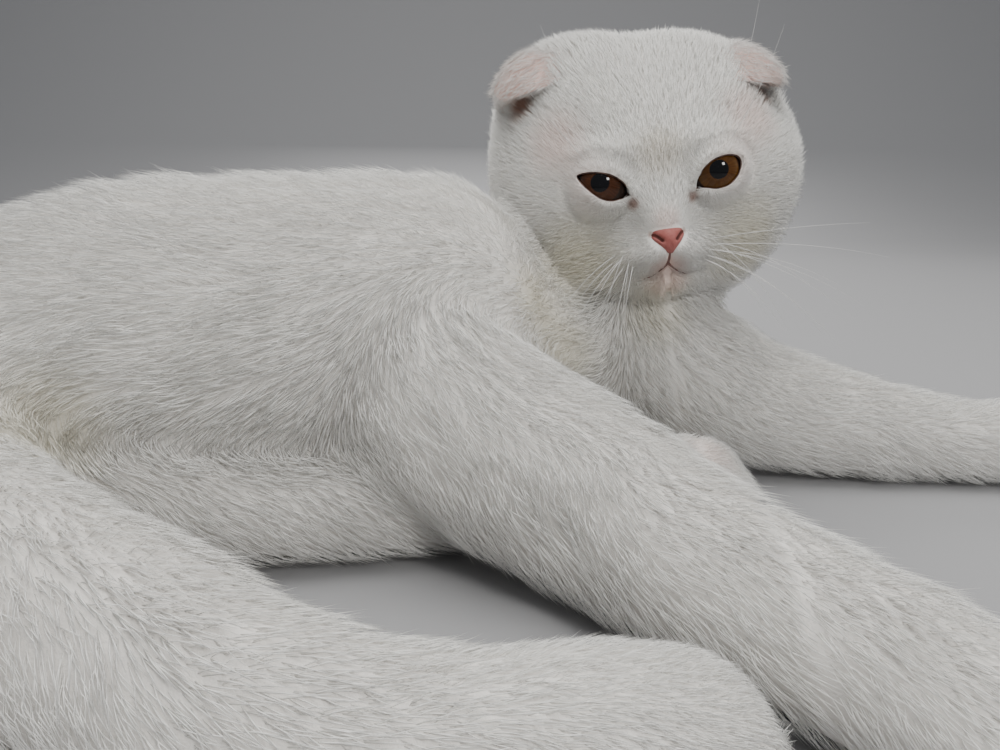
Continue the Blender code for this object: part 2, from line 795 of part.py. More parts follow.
def part_trunk(body):
    """Divides what is left of the body into neck, chest, abdomen, rump and tail."""
    pieces = [body]
    for name, number in (("tail_root", 1), ("tail_middle", 2), ("tail_tip", 4)):
        pieces.append(cut_off(pieces[-1], name, TAIL, number, TAIL_CUT_RADIUS))
    for name, (place, across) in (
        ("neck", NECK_CUT),
        ("chest", CHEST_CUT),
        ("abdomen", ABDOMEN_CUT),
    ):
        middle = np.array(place) * CM
        pieces.append(part_off(body, name, middle, unit(np.array(across)), TRUNK_CUT_RADIUS))
    body.name = "rump"
    return pieces


def main():
    clear_scene()
    coat = make_material("coat", COAT_COLOUR, 0.9)
    ear_skin = make_material("ear skin", EAR_COLOUR, 0.7)
    eye_glass = make_material("eye", EYE_COLOUR, 0.1)
    nose_skin = make_material("nose skin", NOSE_COLOUR, 0.5)
    head_pieces, whole_head = make_head()
    body = make_body(whole_head)
    remove(whole_head)
    pieces = list(head_pieces)
    for name in LIMBS:
        pieces += take_limb(body, name)
    pieces += part_trunk(body)
    for piece in pieces:
        material = coat
        if piece.name.startswith("ear"):
            material = ear_skin
        elif piece.name.startswith("eye"):
            material = eye_glass
        elif piece.name == "nose":
            material = nose_skin
        piece.data.materials.clear()
        piece.data.materials.append(material)
        piece.data.shade_smooth()
        print(piece.name, len(piece.data.polygons))


main()
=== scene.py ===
# %% [markdown]
# # A white Scottish fold cat, lying on its side
#
# This lesson dresses the solid cat that the CAD step packed. The solids already have the
# true size, pose and outline. Here they get what makes a cat look alive: one skin without
# seams, eyes with lids, a nose, a mouth, folded ears, whiskers and a short plush coat.
# Everything is in metres, with the floor at height zero and the head towards +X.

import math

import bmesh
import bpy
import numpy as np
from mathutils import Matrix, Vector
from mathutils.bvhtree import BVHTree
from mathutils.kdtree import KDTree


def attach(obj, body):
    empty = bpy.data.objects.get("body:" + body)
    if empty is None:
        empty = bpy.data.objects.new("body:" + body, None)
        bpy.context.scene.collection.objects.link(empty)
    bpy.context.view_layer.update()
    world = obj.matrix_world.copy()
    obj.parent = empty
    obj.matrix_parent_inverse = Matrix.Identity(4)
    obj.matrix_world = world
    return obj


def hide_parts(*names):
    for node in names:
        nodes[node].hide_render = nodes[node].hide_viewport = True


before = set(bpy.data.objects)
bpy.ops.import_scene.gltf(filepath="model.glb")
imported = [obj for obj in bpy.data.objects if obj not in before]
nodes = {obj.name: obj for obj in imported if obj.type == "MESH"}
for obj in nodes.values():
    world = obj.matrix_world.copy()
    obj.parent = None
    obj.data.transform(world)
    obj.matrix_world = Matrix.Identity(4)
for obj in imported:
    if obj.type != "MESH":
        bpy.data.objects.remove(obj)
bpy.context.view_layer.update()

# %% [markdown]
# ## Camera, floor and light
#
# The photograph was taken from close by with a wide lens, a little above the cat and
# looking slightly down. The stage is a plain pale sweep: a floor that curves up into a
# backdrop, so no hard line runs behind the cat. A large lamp overhead and a bright room
# give even light without a broad reflection in the eyes, and a small lamp behind the
# camera adds one bright spot in each of them.

# %% Camera
CM = 0.01
scene = bpy.context.scene
lens = bpy.data.cameras.new("camera")
lens.lens = 27.0
lens.sensor_width = 36.0
lens.clip_start = 0.005
camera = bpy.data.objects.new("camera", lens)
camera.location = (0.08, -0.28, 0.119)
camera.rotation_euler = (math.radians(75.0), 0.0, 0.0)
scene.collection.objects.link(camera)
scene.camera = camera


# %% Mesh helpers
def link(obj):
    scene.collection.objects.link(obj)
    return obj


def mesh_piece(name, points, faces):
    """A new object from points in metres, with merged doubles and faces turned outwards."""
    mesh = bpy.data.meshes.new(name)
    mesh.from_pydata([tuple(p) for p in points], [], [tuple(int(v) for v in f) for f in faces])
    work = bmesh.new()
    work.from_mesh(mesh)
    bmesh.ops.remove_doubles(work, verts=work.verts, dist=1e-7)
    bmesh.ops.recalc_face_normals(work, faces=work.faces)
    work.to_mesh(mesh)
    work.free()
    mesh.shade_smooth()
    return link(bpy.data.objects.new(name, mesh))


def triangle_piece(name, points, triangles):
    """A new object from large arrays of points and triangles, which is much faster."""
    mesh = bpy.data.meshes.new(name)
    mesh.vertices.add(len(points))
    mesh.vertices.foreach_set("co", np.ascontiguousarray(points, np.float32).ravel())
    mesh.loops.add(3 * len(triangles))
    mesh.loops.foreach_set("vertex_index", np.ascontiguousarray(triangles, np.int32).ravel())
    mesh.polygons.add(len(triangles))
    mesh.polygons.foreach_set("loop_start", np.arange(0, 3 * len(triangles), 3, dtype=np.int32))
    mesh.update(calc_edges=True)
    mesh.shade_smooth()
    return link(bpy.data.objects.new(name, mesh))


def bake_modifiers(obj):
    """Replaces an object's mesh by what its modifiers make of it."""
    graph = bpy.context.evaluated_depsgraph_get()
    result = bpy.data.meshes.new_from_object(obj.evaluated_get(graph))
    obj.modifiers.clear()
    obj.data = result
    return obj


def discard(*objects):
    for obj in objects:
        bpy.data.objects.remove(obj, do_unlink=True)


def coordinates(mesh):
    """The vertices of a mesh as an array."""
    found = np.empty(len(mesh.vertices) * 3, np.float32)
    mesh.vertices.foreach_get("co", found)
    return found.reshape(-1, 3).astype(float)


def vertex_normals(mesh):
    found = np.empty(len(mesh.vertices) * 3, np.float32)
    mesh.vertex_normals.foreach_get("vector", found)
    return found.reshape(-1, 3).astype(float)


def unit(vectors):
    return vectors / np.maximum(np.linalg.norm(vectors, axis=-1, keepdims=True), 1e-9)


def soft_step(value, low, high):
    """0 below low, 1 above high, and a smooth rise between them."""
    share = np.clip((np.asarray(value) - low) / (high - low), 0.0, 1.0)
    return share * share * (3 - 2 * share)


# %% Stage
def make_sweep():
    """A floor that curves up into a backdrop."""
    profile = [(-3.0, 0.0), (0.9, 0.0)]
    for turn in np.linspace(0, math.pi / 2, 12):
        profile.append((0.9 + 0.8 * math.sin(turn), 0.8 - 0.8 * math.cos(turn)))
    profile.append((1.7, 3.0))
    points = [(x, y, z) for x in (-4.0, 4.0) for y, z in profile]
    count = len(profile)
    faces = [(i, count + i, count + i + 1, i + 1) for i in range(count - 1)]
    mesh = bpy.data.meshes.new("floor")
    mesh.from_pydata(points, [], faces)
    mesh.shade_smooth()
    return link(bpy.data.objects.new("floor", mesh))


def lamp(name, place, aim, size, power, colour):
    light = bpy.data.lights.new(name, "AREA")
    light.size = size
    light.energy = power
    light.color = colour
    obj = link(bpy.data.objects.new(name, light))
    obj.location = place
    obj.rotation_euler = (Vector(aim) - Vector(place)).to_track_quat("-Z", "Y").to_euler()
    return obj


floor = make_sweep()
paper = bpy.data.materials.new("pale paper")
paper.use_nodes = True
paper.node_tree.nodes["Principled BSDF"].inputs["Base Color"].default_value = (0.34, 0.34, 0.35, 1)
paper.node_tree.nodes["Principled BSDF"].inputs["Roughness"].default_value = 0.85
floor.data.materials.append(paper)
AIM = (0.08, 0.0, 0.08)
lamp("ceiling", (0.0, -0.1, 1.35), AIM, 1.2, 19.0, (1.0, 0.99, 0.96))
lamp("window", (0.62, -0.95, 0.8), AIM, 0.22, 6.0, (1.0, 0.985, 0.95))
lamp("rim", (0.1, 1.1, 0.7), AIM, 0.9, 8.0, (1.0, 0.98, 0.95))
scene.world = bpy.data.worlds.new("room")
scene.world.use_nodes = True
scene.world.node_tree.nodes["Background"].inputs["Color"].default_value = (0.75, 0.77, 0.8, 1)
scene.world.node_tree.nodes["Background"].inputs["Strength"].default_value = 0.4

# %% [markdown]
# ## The cat in centre lines
#
# A cat's body is a bundle of round forms: trunk, neck, withers, tail and four legs.
# The CAD model swept rings along these lines. Here the same lines say which way the hair
# lies, how long it is at each place, and where each tuft sits on an unwrap of the skin.
# Each row is x, y, z and the radius, in centimetres, and hair runs from the first row on.

# %% Centre lines
LINES = {
    "trunk": ((12.0, 2.2, 4.5, 3.1), (8.1, 0.7, 5.3, 4.3), (6.2, 0.1, 5.75, 6.0), (4.0, -0.1, 5.9, 6.6),
              (0.0, -0.4, 5.9, 6.7), (-5.5, -0.7, 5.7, 6.7), (-10.0, -0.6, 4.9, 6.1),
              (-13.6, -0.2, 4.1, 4.7)),
    "neck": ((13.6, 5.9, 10.4, 3.7), (11.3, 5.1, 7.6, 3.7), (9.6, 4.6, 5.9, 3.5)),
    "withers": ((14.4, 4.1, 4.1, 3.6), (12.2, 4.7, 4.6, 4.1), (9.0, 3.9, 5.0, 4.6),
                (5.6, 2.2, 5.4, 5.4), (1.5, 0.8, 5.8, 6.0)),
    "tail": ((-14.6, 0.6, 3.9, 2.6), (-18.2, 0.2, 2.6, 2.2), (-21.6, -2.6, 2.0, 2.05),
             (-23.2, -7.4, 1.9, 2.0), (-22.2, -12.2, 1.8, 1.95), (-19.2, -16.0, 1.6, 1.7),
             (-18.2, -17.2, 1.6, 1.5)),
    "left_foreleg": ((11.6, 2.9, 5.0, 3.6), (14.0, 2.2, 4.8, 3.5), (17.6, 1.4, 3.1, 2.75),
                     (22.0, 0.8, 2.1, 2.2), (26.6, 0.3, 1.6, 1.75), (29.4, 0.1, 1.6, 1.8),
                     (33.8, 0.0, 1.3, 1.5)),
    "right_foreleg": ((4.3, -2.2, 6.7, 3.9), (6.5, -5.3, 4.5, 3.4), (10.9, -8.2, 2.7, 2.9),
                      (13.8, -11.6, 2.1, 2.4), (16.5, -15.0, 1.9, 2.05), (17.8, -17.4, 1.7, 1.9),
                      (19.8, -21.2, 1.3, 1.6)),
    "right_hind_leg": ((-11.2, -2.6, 5.2, 4.1), (-9.6, -6.6, 3.9, 3.8), (-6.4, -10.5, 3.0, 3.1),
                       (-2.9, -13.0, 2.8, 2.8), (0.8, -15.1, 2.6, 2.5), (4.2, -16.7, 2.2, 2.2),
                       (7.2, -17.1, 1.95, 2.0), (9.6, -16.8, 1.9, 2.0), (11.3, -16.4, 1.75, 1.9),
                       (13.6, -15.9, 1.4, 1.5)),
    "left_hind_leg": ((-9.0, -3.6, 3.4, 3.2), (-5.6, -5.2, 3.0, 2.9), (-2.2, -6.2, 2.5, 2.4),
                      (2.8, -6.1, 2.0, 2.0), (7.6, -5.4, 1.7, 1.7), (12.0, -4.2, 1.6, 1.7),
                      (17.1, -2.6, 1.3, 1.5)),
}
LEGS = [name for name in LINES if name.endswith("leg")]


def along_line(name, points):
    """For each point, in cm: how far outside the form it is, the direction of the form
    there, and its place along (0 to 1) and round (0 to 1) the form."""
    rows = np.array(LINES[name])
    middles = rows[:, :3]
    tangents = unit(np.gradient(middles, axis=0))
    steps = np.diff(middles, axis=0)
    sizes = np.linalg.norm(steps, axis=1)
    reached = np.concatenate([[0.0], np.cumsum(sizes)]) / sizes.sum()
    best = np.full(len(points), 1e9)
    outside = np.zeros(len(points))
    direction = np.zeros((len(points), 3))
    along = np.zeros(len(points))
    near = np.zeros((len(points), 3))
    for i, step in enumerate(steps):
        share = np.clip(((points - middles[i]) @ step) / sizes[i] ** 2, 0.0, 1.0)
        foot = middles[i] + share[:, None] * step
        gap = np.linalg.norm(points - foot, axis=1)
        closer = gap < best
        best = np.where(closer, gap, best)
        radius = rows[i, 3] + share * (rows[i + 1, 3] - rows[i, 3])
        outside = np.where(closer, gap - radius, outside)
        turned = tangents[i] + share[:, None] * (tangents[i + 1] - tangents[i])
        direction = np.where(closer[:, None], turned, direction)
        along = np.where(closer, reached[i] + share * (reached[i + 1] - reached[i]), along)
        near = np.where(closer[:, None], foot, near)
    direction = unit(direction)
    across = unit(np.cross(direction, (0.0, 0.0, 1.0)))
    upward = np.cross(across, direction)
    spoke = points - near
    around = np.arctan2((spoke * upward).sum(1), (spoke * across).sum(1)) / (2 * math.pi) + 0.5
    return outside, direction, along, around


print("centre lines:", ", ".join(LINES))

# %% [markdown]
# ## The head as a rule
#
# The head is a star-shaped form: in every direction from its middle there is one surface
# point. So a single rule gives the whole head: take the farthest of a few egg shapes,
# melt them into one another, then push the face out or in at named places. The CAD model
# used it with large facets. Here the same rule is asked for many more directions, and
# small folds are added that only a fine skin can hold: the groove under the nose, the
# parting of the lips, the fold above each eye and the hollow of each ear.

# %% Head sizes
HEAD_MIDDLE = (13.6, 3.0, 12.15)
HEAD_YAW = math.radians(-1.8)
HEAD_ROLL = math.radians(-7.4)
HEAD_BLEND = 1.5
CROWN_TILT = 0.11
HEAD_FORMS = (
    ((0.0, 0.9, 0.75), (5.3, 4.9, 4.3)),
    ((2.3, 0.5, 1.7), (3.1, 3.7, 3.1)),
    ((2.85, -0.1, -0.75), (3.2, 3.7, 3.15)),
    ((0.0, -1.1, -0.5), (4.3, 3.5, 3.8)),
    ((1.75, -1.0, -2.85), (2.75, 3.0, 2.3)),
)
# across, up, width, height, and how far the face stands out there; twins off the middle
FACE_SWELLINGS = (
    (0.78, -3.05, 0.95, 0.75, 0.85),
    (0.0, -1.75, 0.8, 1.2, 0.75),
    (0.0, -2.5, 0.6, 0.5, 0.3),
    (0.0, -4.45, 1.05, 0.6, 1.25),
    (1.95, -0.5, 1.15, 0.8, -0.25),
    (1.9, 0.9, 1.5, 0.55, 0.25),
)
FACE_FOLDS = (
    (0.0, -3.02, 0.1, 0.3, -0.14),
    (0.0, -4.0, 0.6, 0.2, 0.1),
    (0.62, -2.95, 0.42, 0.34, 0.12),
    (1.15, -1.75, 0.35, 0.5, -0.08),
)
EYE_MIDDLE = (1.98, -3.62, -0.45)
EYE_RADIUS = 1.05
LID_THICKNESS = 0.16
LID_BLEND = 0.55
NOSE_MIDDLE = (0.0, -2.38)
MOUTH_APEX = -3.28
MOUTH_HALF_WIDTH = 1.05
MOUTH_DROP = 0.55
EAR_HOLLOWS = ((4.35, -2.1, 2.15), (-4.45, -2.0, 2.75))

head_turn = (Matrix.Rotation(HEAD_YAW, 3, "Z") @ Matrix.Rotation(HEAD_ROLL, 3, "Y"))
HEAD_TURN = np.array(head_turn)


def to_cat(points):
    """From the head's own frame to the cat's, both in centimetres."""
    return np.asarray(points) @ HEAD_TURN.T + HEAD_MIDDLE


def to_head(points):
    return (np.asarray(points) - HEAD_MIDDLE) @ HEAD_TURN


# %% Head surface
def smooth_most(first, second, blend):
    """The larger of the two, with a soft change from one to the other."""
    near = np.clip(blend - np.abs(first - second), 0.0, None) / blend
    return np.maximum(first, second) + near**2 * blend / 4


def reach_of(middle, halves, directions):
    """How far each direction goes from the head's middle to the far side of an egg."""
    middle = np.array(middle)
    size = np.array(halves)
    a = ((directions / size) ** 2).sum(axis=1)
    b = -2 * (directions * middle / size**2).sum(axis=1)
    c = ((middle / size) ** 2).sum() - 1
    inside = np.clip(b * b - 4 * a * c, 0.0, None)
    return (-b + np.sqrt(inside)) / (2 * a)


def mouth_height(across):
    """How high the parting of the lips is at a place across the face."""
    share = np.clip(np.abs(across) / MOUTH_HALF_WIDTH, 0.0, 1.0)
    return MOUTH_APEX - MOUTH_DROP * np.sin(share * math.pi * 0.62)


def head_points(directions):
    """The surface of the head in each direction, in centimetres in the head's frame."""
    reach = None
    for middle, halves in HEAD_FORMS:
        for side in (1.0, -1.0) if middle[0] else (1.0,):
            found = reach_of((side * middle[0], middle[1], middle[2]), halves, directions)
            reach = found if reach is None else smooth_most(reach, found, HEAD_BLEND)
    for hollow in EAR_HOLLOWS:
        turn = np.degrees(np.arccos(np.clip(directions @ unit(np.array(hollow)), -1, 1)))
        reach = reach - 0.75 * np.exp(-((turn / 5.5) ** 2))
    points = directions * reach[:, None]
    x, y, z = points[:, 0].copy(), points[:, 1].copy(), points[:, 2].copy()
    z -= CROWN_TILT * x * np.clip(z / 3.0, 0.0, 1.0)
    in_front = np.clip(-directions[:, 1] * 1.6 - 0.15, 0.0, 1.0)
    for across, up, width, height, relief in FACE_SWELLINGS + FACE_FOLDS:
        for side in (1.0, -1.0) if across else (1.0,):
            spread = ((x - side * across) / width) ** 2 + ((z - up) / height) ** 2
            y -= in_front * relief * np.exp(-spread)
    parting = np.exp(-(((z - mouth_height(x)) / 0.09) ** 2)) * soft_step(-np.abs(x), -1.3, -0.85)
    y += in_front * 0.16 * parting
    for side in (1.0, -1.0):
        apart = np.hypot(x - side * EYE_MIDDLE[0], z - EYE_MIDDLE[2])
        lid_radius = EYE_RADIUS + LID_THICKNESS
        dome = EYE_MIDDLE[1] - np.sqrt(np.clip(lid_radius**2 - apart**2, 0.0, None))
        raised = -smooth_most(-y, -dome, LID_BLEND)
        y = np.where((apart < lid_radius) & (in_front > 0.5), raised, y)
    return np.column_stack([x, y, z])


# %% Coat depth
def head_depth(points):
    """How deep the coat is over a point of the head, in cm: thin round the eyes and nose."""
    x, y, z = points.T
    depth = 0.3 - 0.14 * soft_step(-y, 1.5, 4.0)
    depth = depth + 0.12 * soft_step(np.abs(x), 3.2, 5.0) * soft_step(-z, -1.0, 2.0)
    front = soft_step(-y, 1.0, 2.5)
    muzzle = front * (1 - soft_step(np.hypot(x, (z + 2.9) * 1.1), 1.2, 2.6))
    depth = depth * (1 - muzzle) + 0.12 * muzzle
    nose = front * (1 - soft_step(np.hypot(x, z - NOSE_MIDDLE[1]), 0.6, 1.5))
    depth = depth * (1 - nose) + 0.045 * nose
    for side in (1.0, -1.0):
        apart = np.hypot(x - side * EYE_MIDDLE[0], z - EYE_MIDDLE[2])
        lid = front * (1 - soft_step(apart, 1.0, 2.0))
        depth = depth * (1 - lid) + 0.07 * lid
    return depth


# %% Fine head
HEAD_RINGS = 176
HEAD_SEGMENTS = 232
POLE_TILT = math.radians(22.0)


def fine_head():
    """The head's skin, inside the solid by the depth of the coat."""
    share = np.linspace(0.0, 1.0, HEAD_RINGS + 1)[1:-1]
    away = math.pi * (0.42 * share + 0.58 * share**2)
    turn = np.linspace(0, 2 * math.pi, HEAD_SEGMENTS, endpoint=False)
    away, turn = np.meshgrid(away, turn, indexing="ij")
    directions = np.stack(
        [np.sin(away) * np.cos(turn), -np.cos(away), np.sin(away) * np.sin(turn)], axis=-1
    ).reshape(-1, 3)
    directions = np.vstack([directions, (0.0, -1.0, 0.0), (0.0, 1.0, 0.0)])
    tilt = np.array(Matrix.Rotation(POLE_TILT, 3, "X"))
    points = head_points(directions @ tilt.T)
    rows = HEAD_RINGS - 1
    side = np.arange(HEAD_SEGMENTS)
    after = (side + 1) % HEAD_SEGMENTS
    low = (np.arange(rows - 1) * HEAD_SEGMENTS)[:, None]
    quads = [low + side, low + after, low + HEAD_SEGMENTS + after, low + HEAD_SEGMENTS + side]
    a, b, c, d = (np.broadcast_to(q, (rows - 1, HEAD_SEGMENTS)).ravel() for q in quads)
    front = rows * HEAD_SEGMENTS
    last = (rows - 1) * HEAD_SEGMENTS
    triangles = np.vstack([
        np.column_stack([a, b, c]),
        np.column_stack([a, c, d]),
        np.column_stack([after, side, np.full(HEAD_SEGMENTS, front)]),
        np.column_stack([last + side, last + after, np.full(HEAD_SEGMENTS, front + 1)]),
    ])
    head = triangle_piece("skin", points, triangles)
    work = bmesh.new()
    work.from_mesh(head.data)
    bmesh.ops.recalc_face_normals(work, faces=work.faces)
    work.to_mesh(head.data)
    work.free()
    points = coordinates(head.data)
    points -= vertex_normals(head.data) * head_depth(points)[:, None]
    head.data.vertices.foreach_set("co", (to_cat(points) * CM).astype(np.float32).ravel())
    head.data.update()
    return head


head_skin = fine_head()
print("fine head:", len(head_skin.data.polygons), "triangles")

# %% [markdown]
# ## One skin
#
# The solids of flesh are cut into nodes, and a cut must never show. So copies of them are
# swollen by a hair's breadth until they overlap, and a voxel remesh closes them into one
# surface. That surface is smoothed and then drawn inwards by the depth of the coat, which
# is deep on the trunk and shallow on the paws. A Boolean union melts the fine head in.

# %% Body depth and length of the hair
HAIR = {  # length of a tuft and depth of the coat, in cm
    "trunk": (1.45, 0.42),
    "neck": (1.3, 0.4),
    "withers": (1.4, 0.42),
    "tail": (1.6, 0.45),
    "leg": (1.2, 0.31),
    "paw": (0.7, 0.15),
    "head": (0.9, 0.28),
}


def outside_head(points):
    """Roughly how far a point is outside the head, in cm."""
    inner = to_head(points)
    return (np.linalg.norm((inner - (0, 0.2, 0)) / (5.7, 5.2, 4.9), axis=1) - 1.0) * 5.2


def form_shares(points):
    """How much each form has a say at each point, with what along_line finds for it."""
    found = {name: along_line(name, points) for name in LINES}
    outs = np.stack([found[name][0] for name in LINES] + [outside_head(points)])
    shares = np.exp(-(outs - outs.min(axis=0)) / 0.55)
    return found, shares / shares.sum(axis=0)


def hair_at(points):
    """Length of the hair and depth of the coat at points of the body, in centimetres."""
    found, shares = form_shares(points)
    result = np.zeros((len(points), 2))
    for row, name in enumerate(LINES):
        kind = np.array(HAIR["leg" if name in LEGS else name])
        if name in LEGS:
            paw = soft_step(found[name][2], 0.62, 0.9)[:, None]
            kind = kind * (1 - paw) + np.array(HAIR["paw"]) * paw
        result += shares[row][:, None] * kind
    result += shares[-1][:, None] * np.array(HAIR["head"])
    return result


# %% Body skin
FLESH = [name for name in nodes if not name.startswith(("ear", "eye")) and name != "nose"]
SKIN_VOXEL = 0.0026
SWELL = 0.0003


def merged_copy(name, node_names):
    """One mesh of copies of the nodes, with each node's loose triangles joined."""
    work = bmesh.new()
    for node in node_names:
        work.from_mesh(nodes[node].data)
    bmesh.ops.remove_doubles(work, verts=work.verts, dist=1e-6)
    mesh = bpy.data.meshes.new(name)
    work.to_mesh(mesh)
    work.free()
    return link(bpy.data.objects.new(name, mesh))


def body_skin():
    body = merged_copy("body", [*FLESH, "eye_left", "eye_right", "nose"])
    swell = body.modifiers.new("swell", "DISPLACE")
    swell.strength = SWELL
    swell.mid_level = 0.0
    remesh = body.modifiers.new("remesh", "REMESH")
    remesh.mode = "VOXEL"
    remesh.voxel_size = SKIN_VOXEL
    smooth = body.modifiers.new("smooth", "SMOOTH")
    smooth.factor = 0.5
    smooth.iterations = 14
    bake_modifiers(body)
    points = coordinates(body.data)
    depth = hair_at(points / CM)[:, 1]
    inner = to_head(points / CM)
    in_head = 1 - soft_step(np.linalg.norm(inner / (5.7, 5.2, 4.9), axis=1), 0.95, 1.15)
    depth = depth + 0.35 * in_head
    points -= vertex_normals(body.data) * depth[:, None] * CM
    body.data.vertices.foreach_set("co", points.astype(np.float32).ravel())
    body.data.update()
    return body


def combine(obj, other, operation):
    modifier = obj.modifiers.new("combine", "BOOLEAN")
    modifier.operation = operation
    modifier.object = other
    modifier.solver = "MANIFOLD"
    before = len(obj.data.polygons)
    bake_modifiers(obj)
    print(operation.lower(), other.name, before, "->", len(obj.data.polygons), "faces")


body = body_skin()
print("body skin:", len(body.data.polygons), "faces")
skin = head_skin
combine(skin, body, "UNION")
discard(body)

# %% [markdown]
# ## Eyes and lids
#
# A cat's lids are two folds of skin that slide over the eyeball. The skin already bulges
# over each ball. The opening between the lids is cut as a prism with the outline of the
# lid edges, and then the ball itself is cut away from behind, so the lids rest on the eye
# as thin as they really are. One eye is a little narrower, as in the photograph.

# %% Lid outlines
# Offsets from the middle of the eye in cm: outwards from the nose, then up. The first is
# the inner corner, and the rest run over the upper lid and back along the lower one.
LEFT_LIDS = ((-0.83, -0.6), (-0.79, -0.2), (-0.63, 0.13), (-0.435, 0.33), (-0.23, 0.46),
             (0.04, 0.54), (0.32, 0.56), (0.66, 0.47), (0.78, 0.24), (0.65, -0.14),
             (0.28, -0.46), (-0.15, -0.54), (-0.57, -0.46))
RIGHT_LIDS = ((-0.93, -0.46), (-0.83, -0.1), (-0.63, 0.17), (-0.3, 0.4), (0.09, 0.53),
              (0.55, 0.58), (0.86, 0.49), (0.68, 0.12), (0.2, -0.34), (-0.22, -0.5),
              (-0.6, -0.47))
EYES = (
    {"side": 1.0, "lids": LEFT_LIDS, "gaze": (-0.05, -0.99, 0.1), "name": "eye_left"},
    {"side": -1.0, "lids": RIGHT_LIDS, "gaze": (-0.11, -0.975, 0.18), "name": "eye_right"},
)


def smooth_run(knots, steps, closed=False):
    """A smooth line through the knots, with this many steps between two."""
    table = np.array(knots, float)
    if closed:
        table = np.vstack([table, table[:1]])
    padded = np.vstack([2 * table[0] - table[1], table, 2 * table[-1] - table[-2]])
    rows = []
    for first in range(len(table) - 1):
        a, b, c, d = padded[first : first + 4]
        for t in np.arange(steps) / steps:
            rows.append(b + 0.5 * t * (c - a) + 0.5 * t**2 * (2 * a - 5 * b + 4 * c - d)
                        + 0.5 * t**3 * (3 * b - a - 3 * c + d))
    if not closed:
        rows.append(table[-1])
    return np.array(rows)


def lid_outline(eye):
    """The edge between the lids across and up the face, in the head's frame."""
    line = smooth_run(eye["lids"], 5, closed=True)
    return np.column_stack([
        eye["side"] * (EYE_MIDDLE[0] + line[:, 0]), EYE_MIDDLE[2] + line[:, 1]
    ])


# %% Cut the lids
LID_CLEARANCE = 0.006


def eye_middle(eye):
    return np.array((eye["side"] * EYE_MIDDLE[0], EYE_MIDDLE[1], EYE_MIDDLE[2]))


def ball_points(rings, segments):
    """Unit directions of a ball with its pole along Z, and its faces."""
    polar = np.linspace(0, math.pi, rings + 1)[1:-1]
    turn = np.linspace(0, 2 * math.pi, segments, endpoint=False)
    polar, turn = np.meshgrid(polar, turn, indexing="ij")
    points = np.stack([np.sin(polar) * np.cos(turn), np.sin(polar) * np.sin(turn), np.cos(polar)], -1)
    points = np.vstack([points.reshape(-1, 3), (0, 0, 1), (0, 0, -1)])
    faces = []
    for side in range(segments):
        after = (side + 1) % segments
        for ring in range(rings - 2):
            low = ring * segments
            faces.append((low + side, low + segments + side, low + segments + after, low + after))
        faces.append((len(points) - 2, side, after))
        last = (rings - 2) * segments
        faces.append((last + side, len(points) - 1, last + after))
    return points, faces


def cut_lids(eye):
    outline = lid_outline(eye)
    count = len(outline)
    depths = (EYE_MIDDLE[1] - 3.0, EYE_MIDDLE[1] - 0.25)
    points = [(x, depth, z) for depth in depths for x, z in outline]
    faces = [tuple(range(count)), tuple(range(count, 2 * count))]
    faces += [(i, (i + 1) % count, count + (i + 1) % count, count + i) for i in range(count)]
    prism = mesh_piece("lid opening", to_cat(points) * CM, faces)
    directions, ball_faces = ball_points(32, 48)
    socket_points = eye_middle(eye) + directions * (EYE_RADIUS + LID_CLEARANCE)
    socket = mesh_piece("socket", to_cat(socket_points) * CM, ball_faces)
    combine(skin, prism, "DIFFERENCE")
    combine(skin, socket, "DIFFERENCE")
    discard(prism, socket)


face_tree = BVHTree.FromObject(skin, bpy.context.evaluated_depsgraph_get())
for eye in EYES:
    cut_lids(eye)


def face_point(across, up, out=0.0):
    """The point of the skin at this place across and up the face, in the head's frame."""
    start = Vector(to_cat((across, -12.0, up)) * CM)
    ahead = Vector(HEAD_TURN @ np.array((0.0, 1.0, 0.0)))
    hit = face_tree.ray_cast(start, ahead)[0]
    return to_head(np.array(hit) / CM) - np.array((0.0, out, 0.0))


# %% [markdown]
# The eyeball is a ball with the cornea standing a little proud of it. Its colour is
# worked out from the angle to the line of sight: a round black pupil, a copper iris with
# fine spokes and darker blotches near the pupil, and a dark ring outside. A clear wet coat
# over it gives the bright spots of the lamps.

# %% Eyeballs
IRIS_ANGLE = math.radians(44.0)
PUPIL_SHARE = 0.4
CORNEA_RISE = 0.035


def make_eyeball(eye):
    directions, faces = ball_points(64, 96)
    gaze = unit(np.array(eye["gaze"]))
    turn = np.array(Vector(gaze).to_track_quat("Z", "Y").to_matrix())
    rise = CORNEA_RISE * (1 - soft_step(np.arccos(directions[:, 2].clip(-1, 1)), 0.1, IRIS_ANGLE))
    points = (directions * (EYE_RADIUS - 0.012 + rise)[:, None]) @ turn.T + eye_middle(eye)
    ball = mesh_piece(eye["name"] + "_ball", to_cat(points) * CM, faces)
    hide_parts(eye["name"])
    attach(ball, "root")
    return ball


def tube(name, route, radii, sides=10, upward=(0.0, 0.0, 1.0)):
    """A closed tube along a route, in the cat's frame in cm, with a radius at each point."""
    route = np.asarray(route, float)
    radii = np.broadcast_to(radii, len(route))
    ahead = unit(np.gradient(route, axis=0))
    across = unit(np.cross(ahead, upward))
    lifted = np.cross(across, ahead)
    turn = np.linspace(0, 2 * math.pi, sides, endpoint=False)
    points = []
    for row in range(len(route)):
        for angle in turn:
            points.append(route[row] + radii[row] * (math.cos(angle) * across[row] + math.sin(angle) * lifted[row]))
    faces = []
    for row in range(len(route) - 1):
        for side in range(sides):
            low = row * sides
            after = (side + 1) % sides
            faces.append((low + side, low + after, low + sides + after, low + sides + side))
    faces += [tuple(range(sides)), tuple(range((len(route) - 1) * sides, len(route) * sides))]
    return mesh_piece(name, np.array(points) * CM, faces)


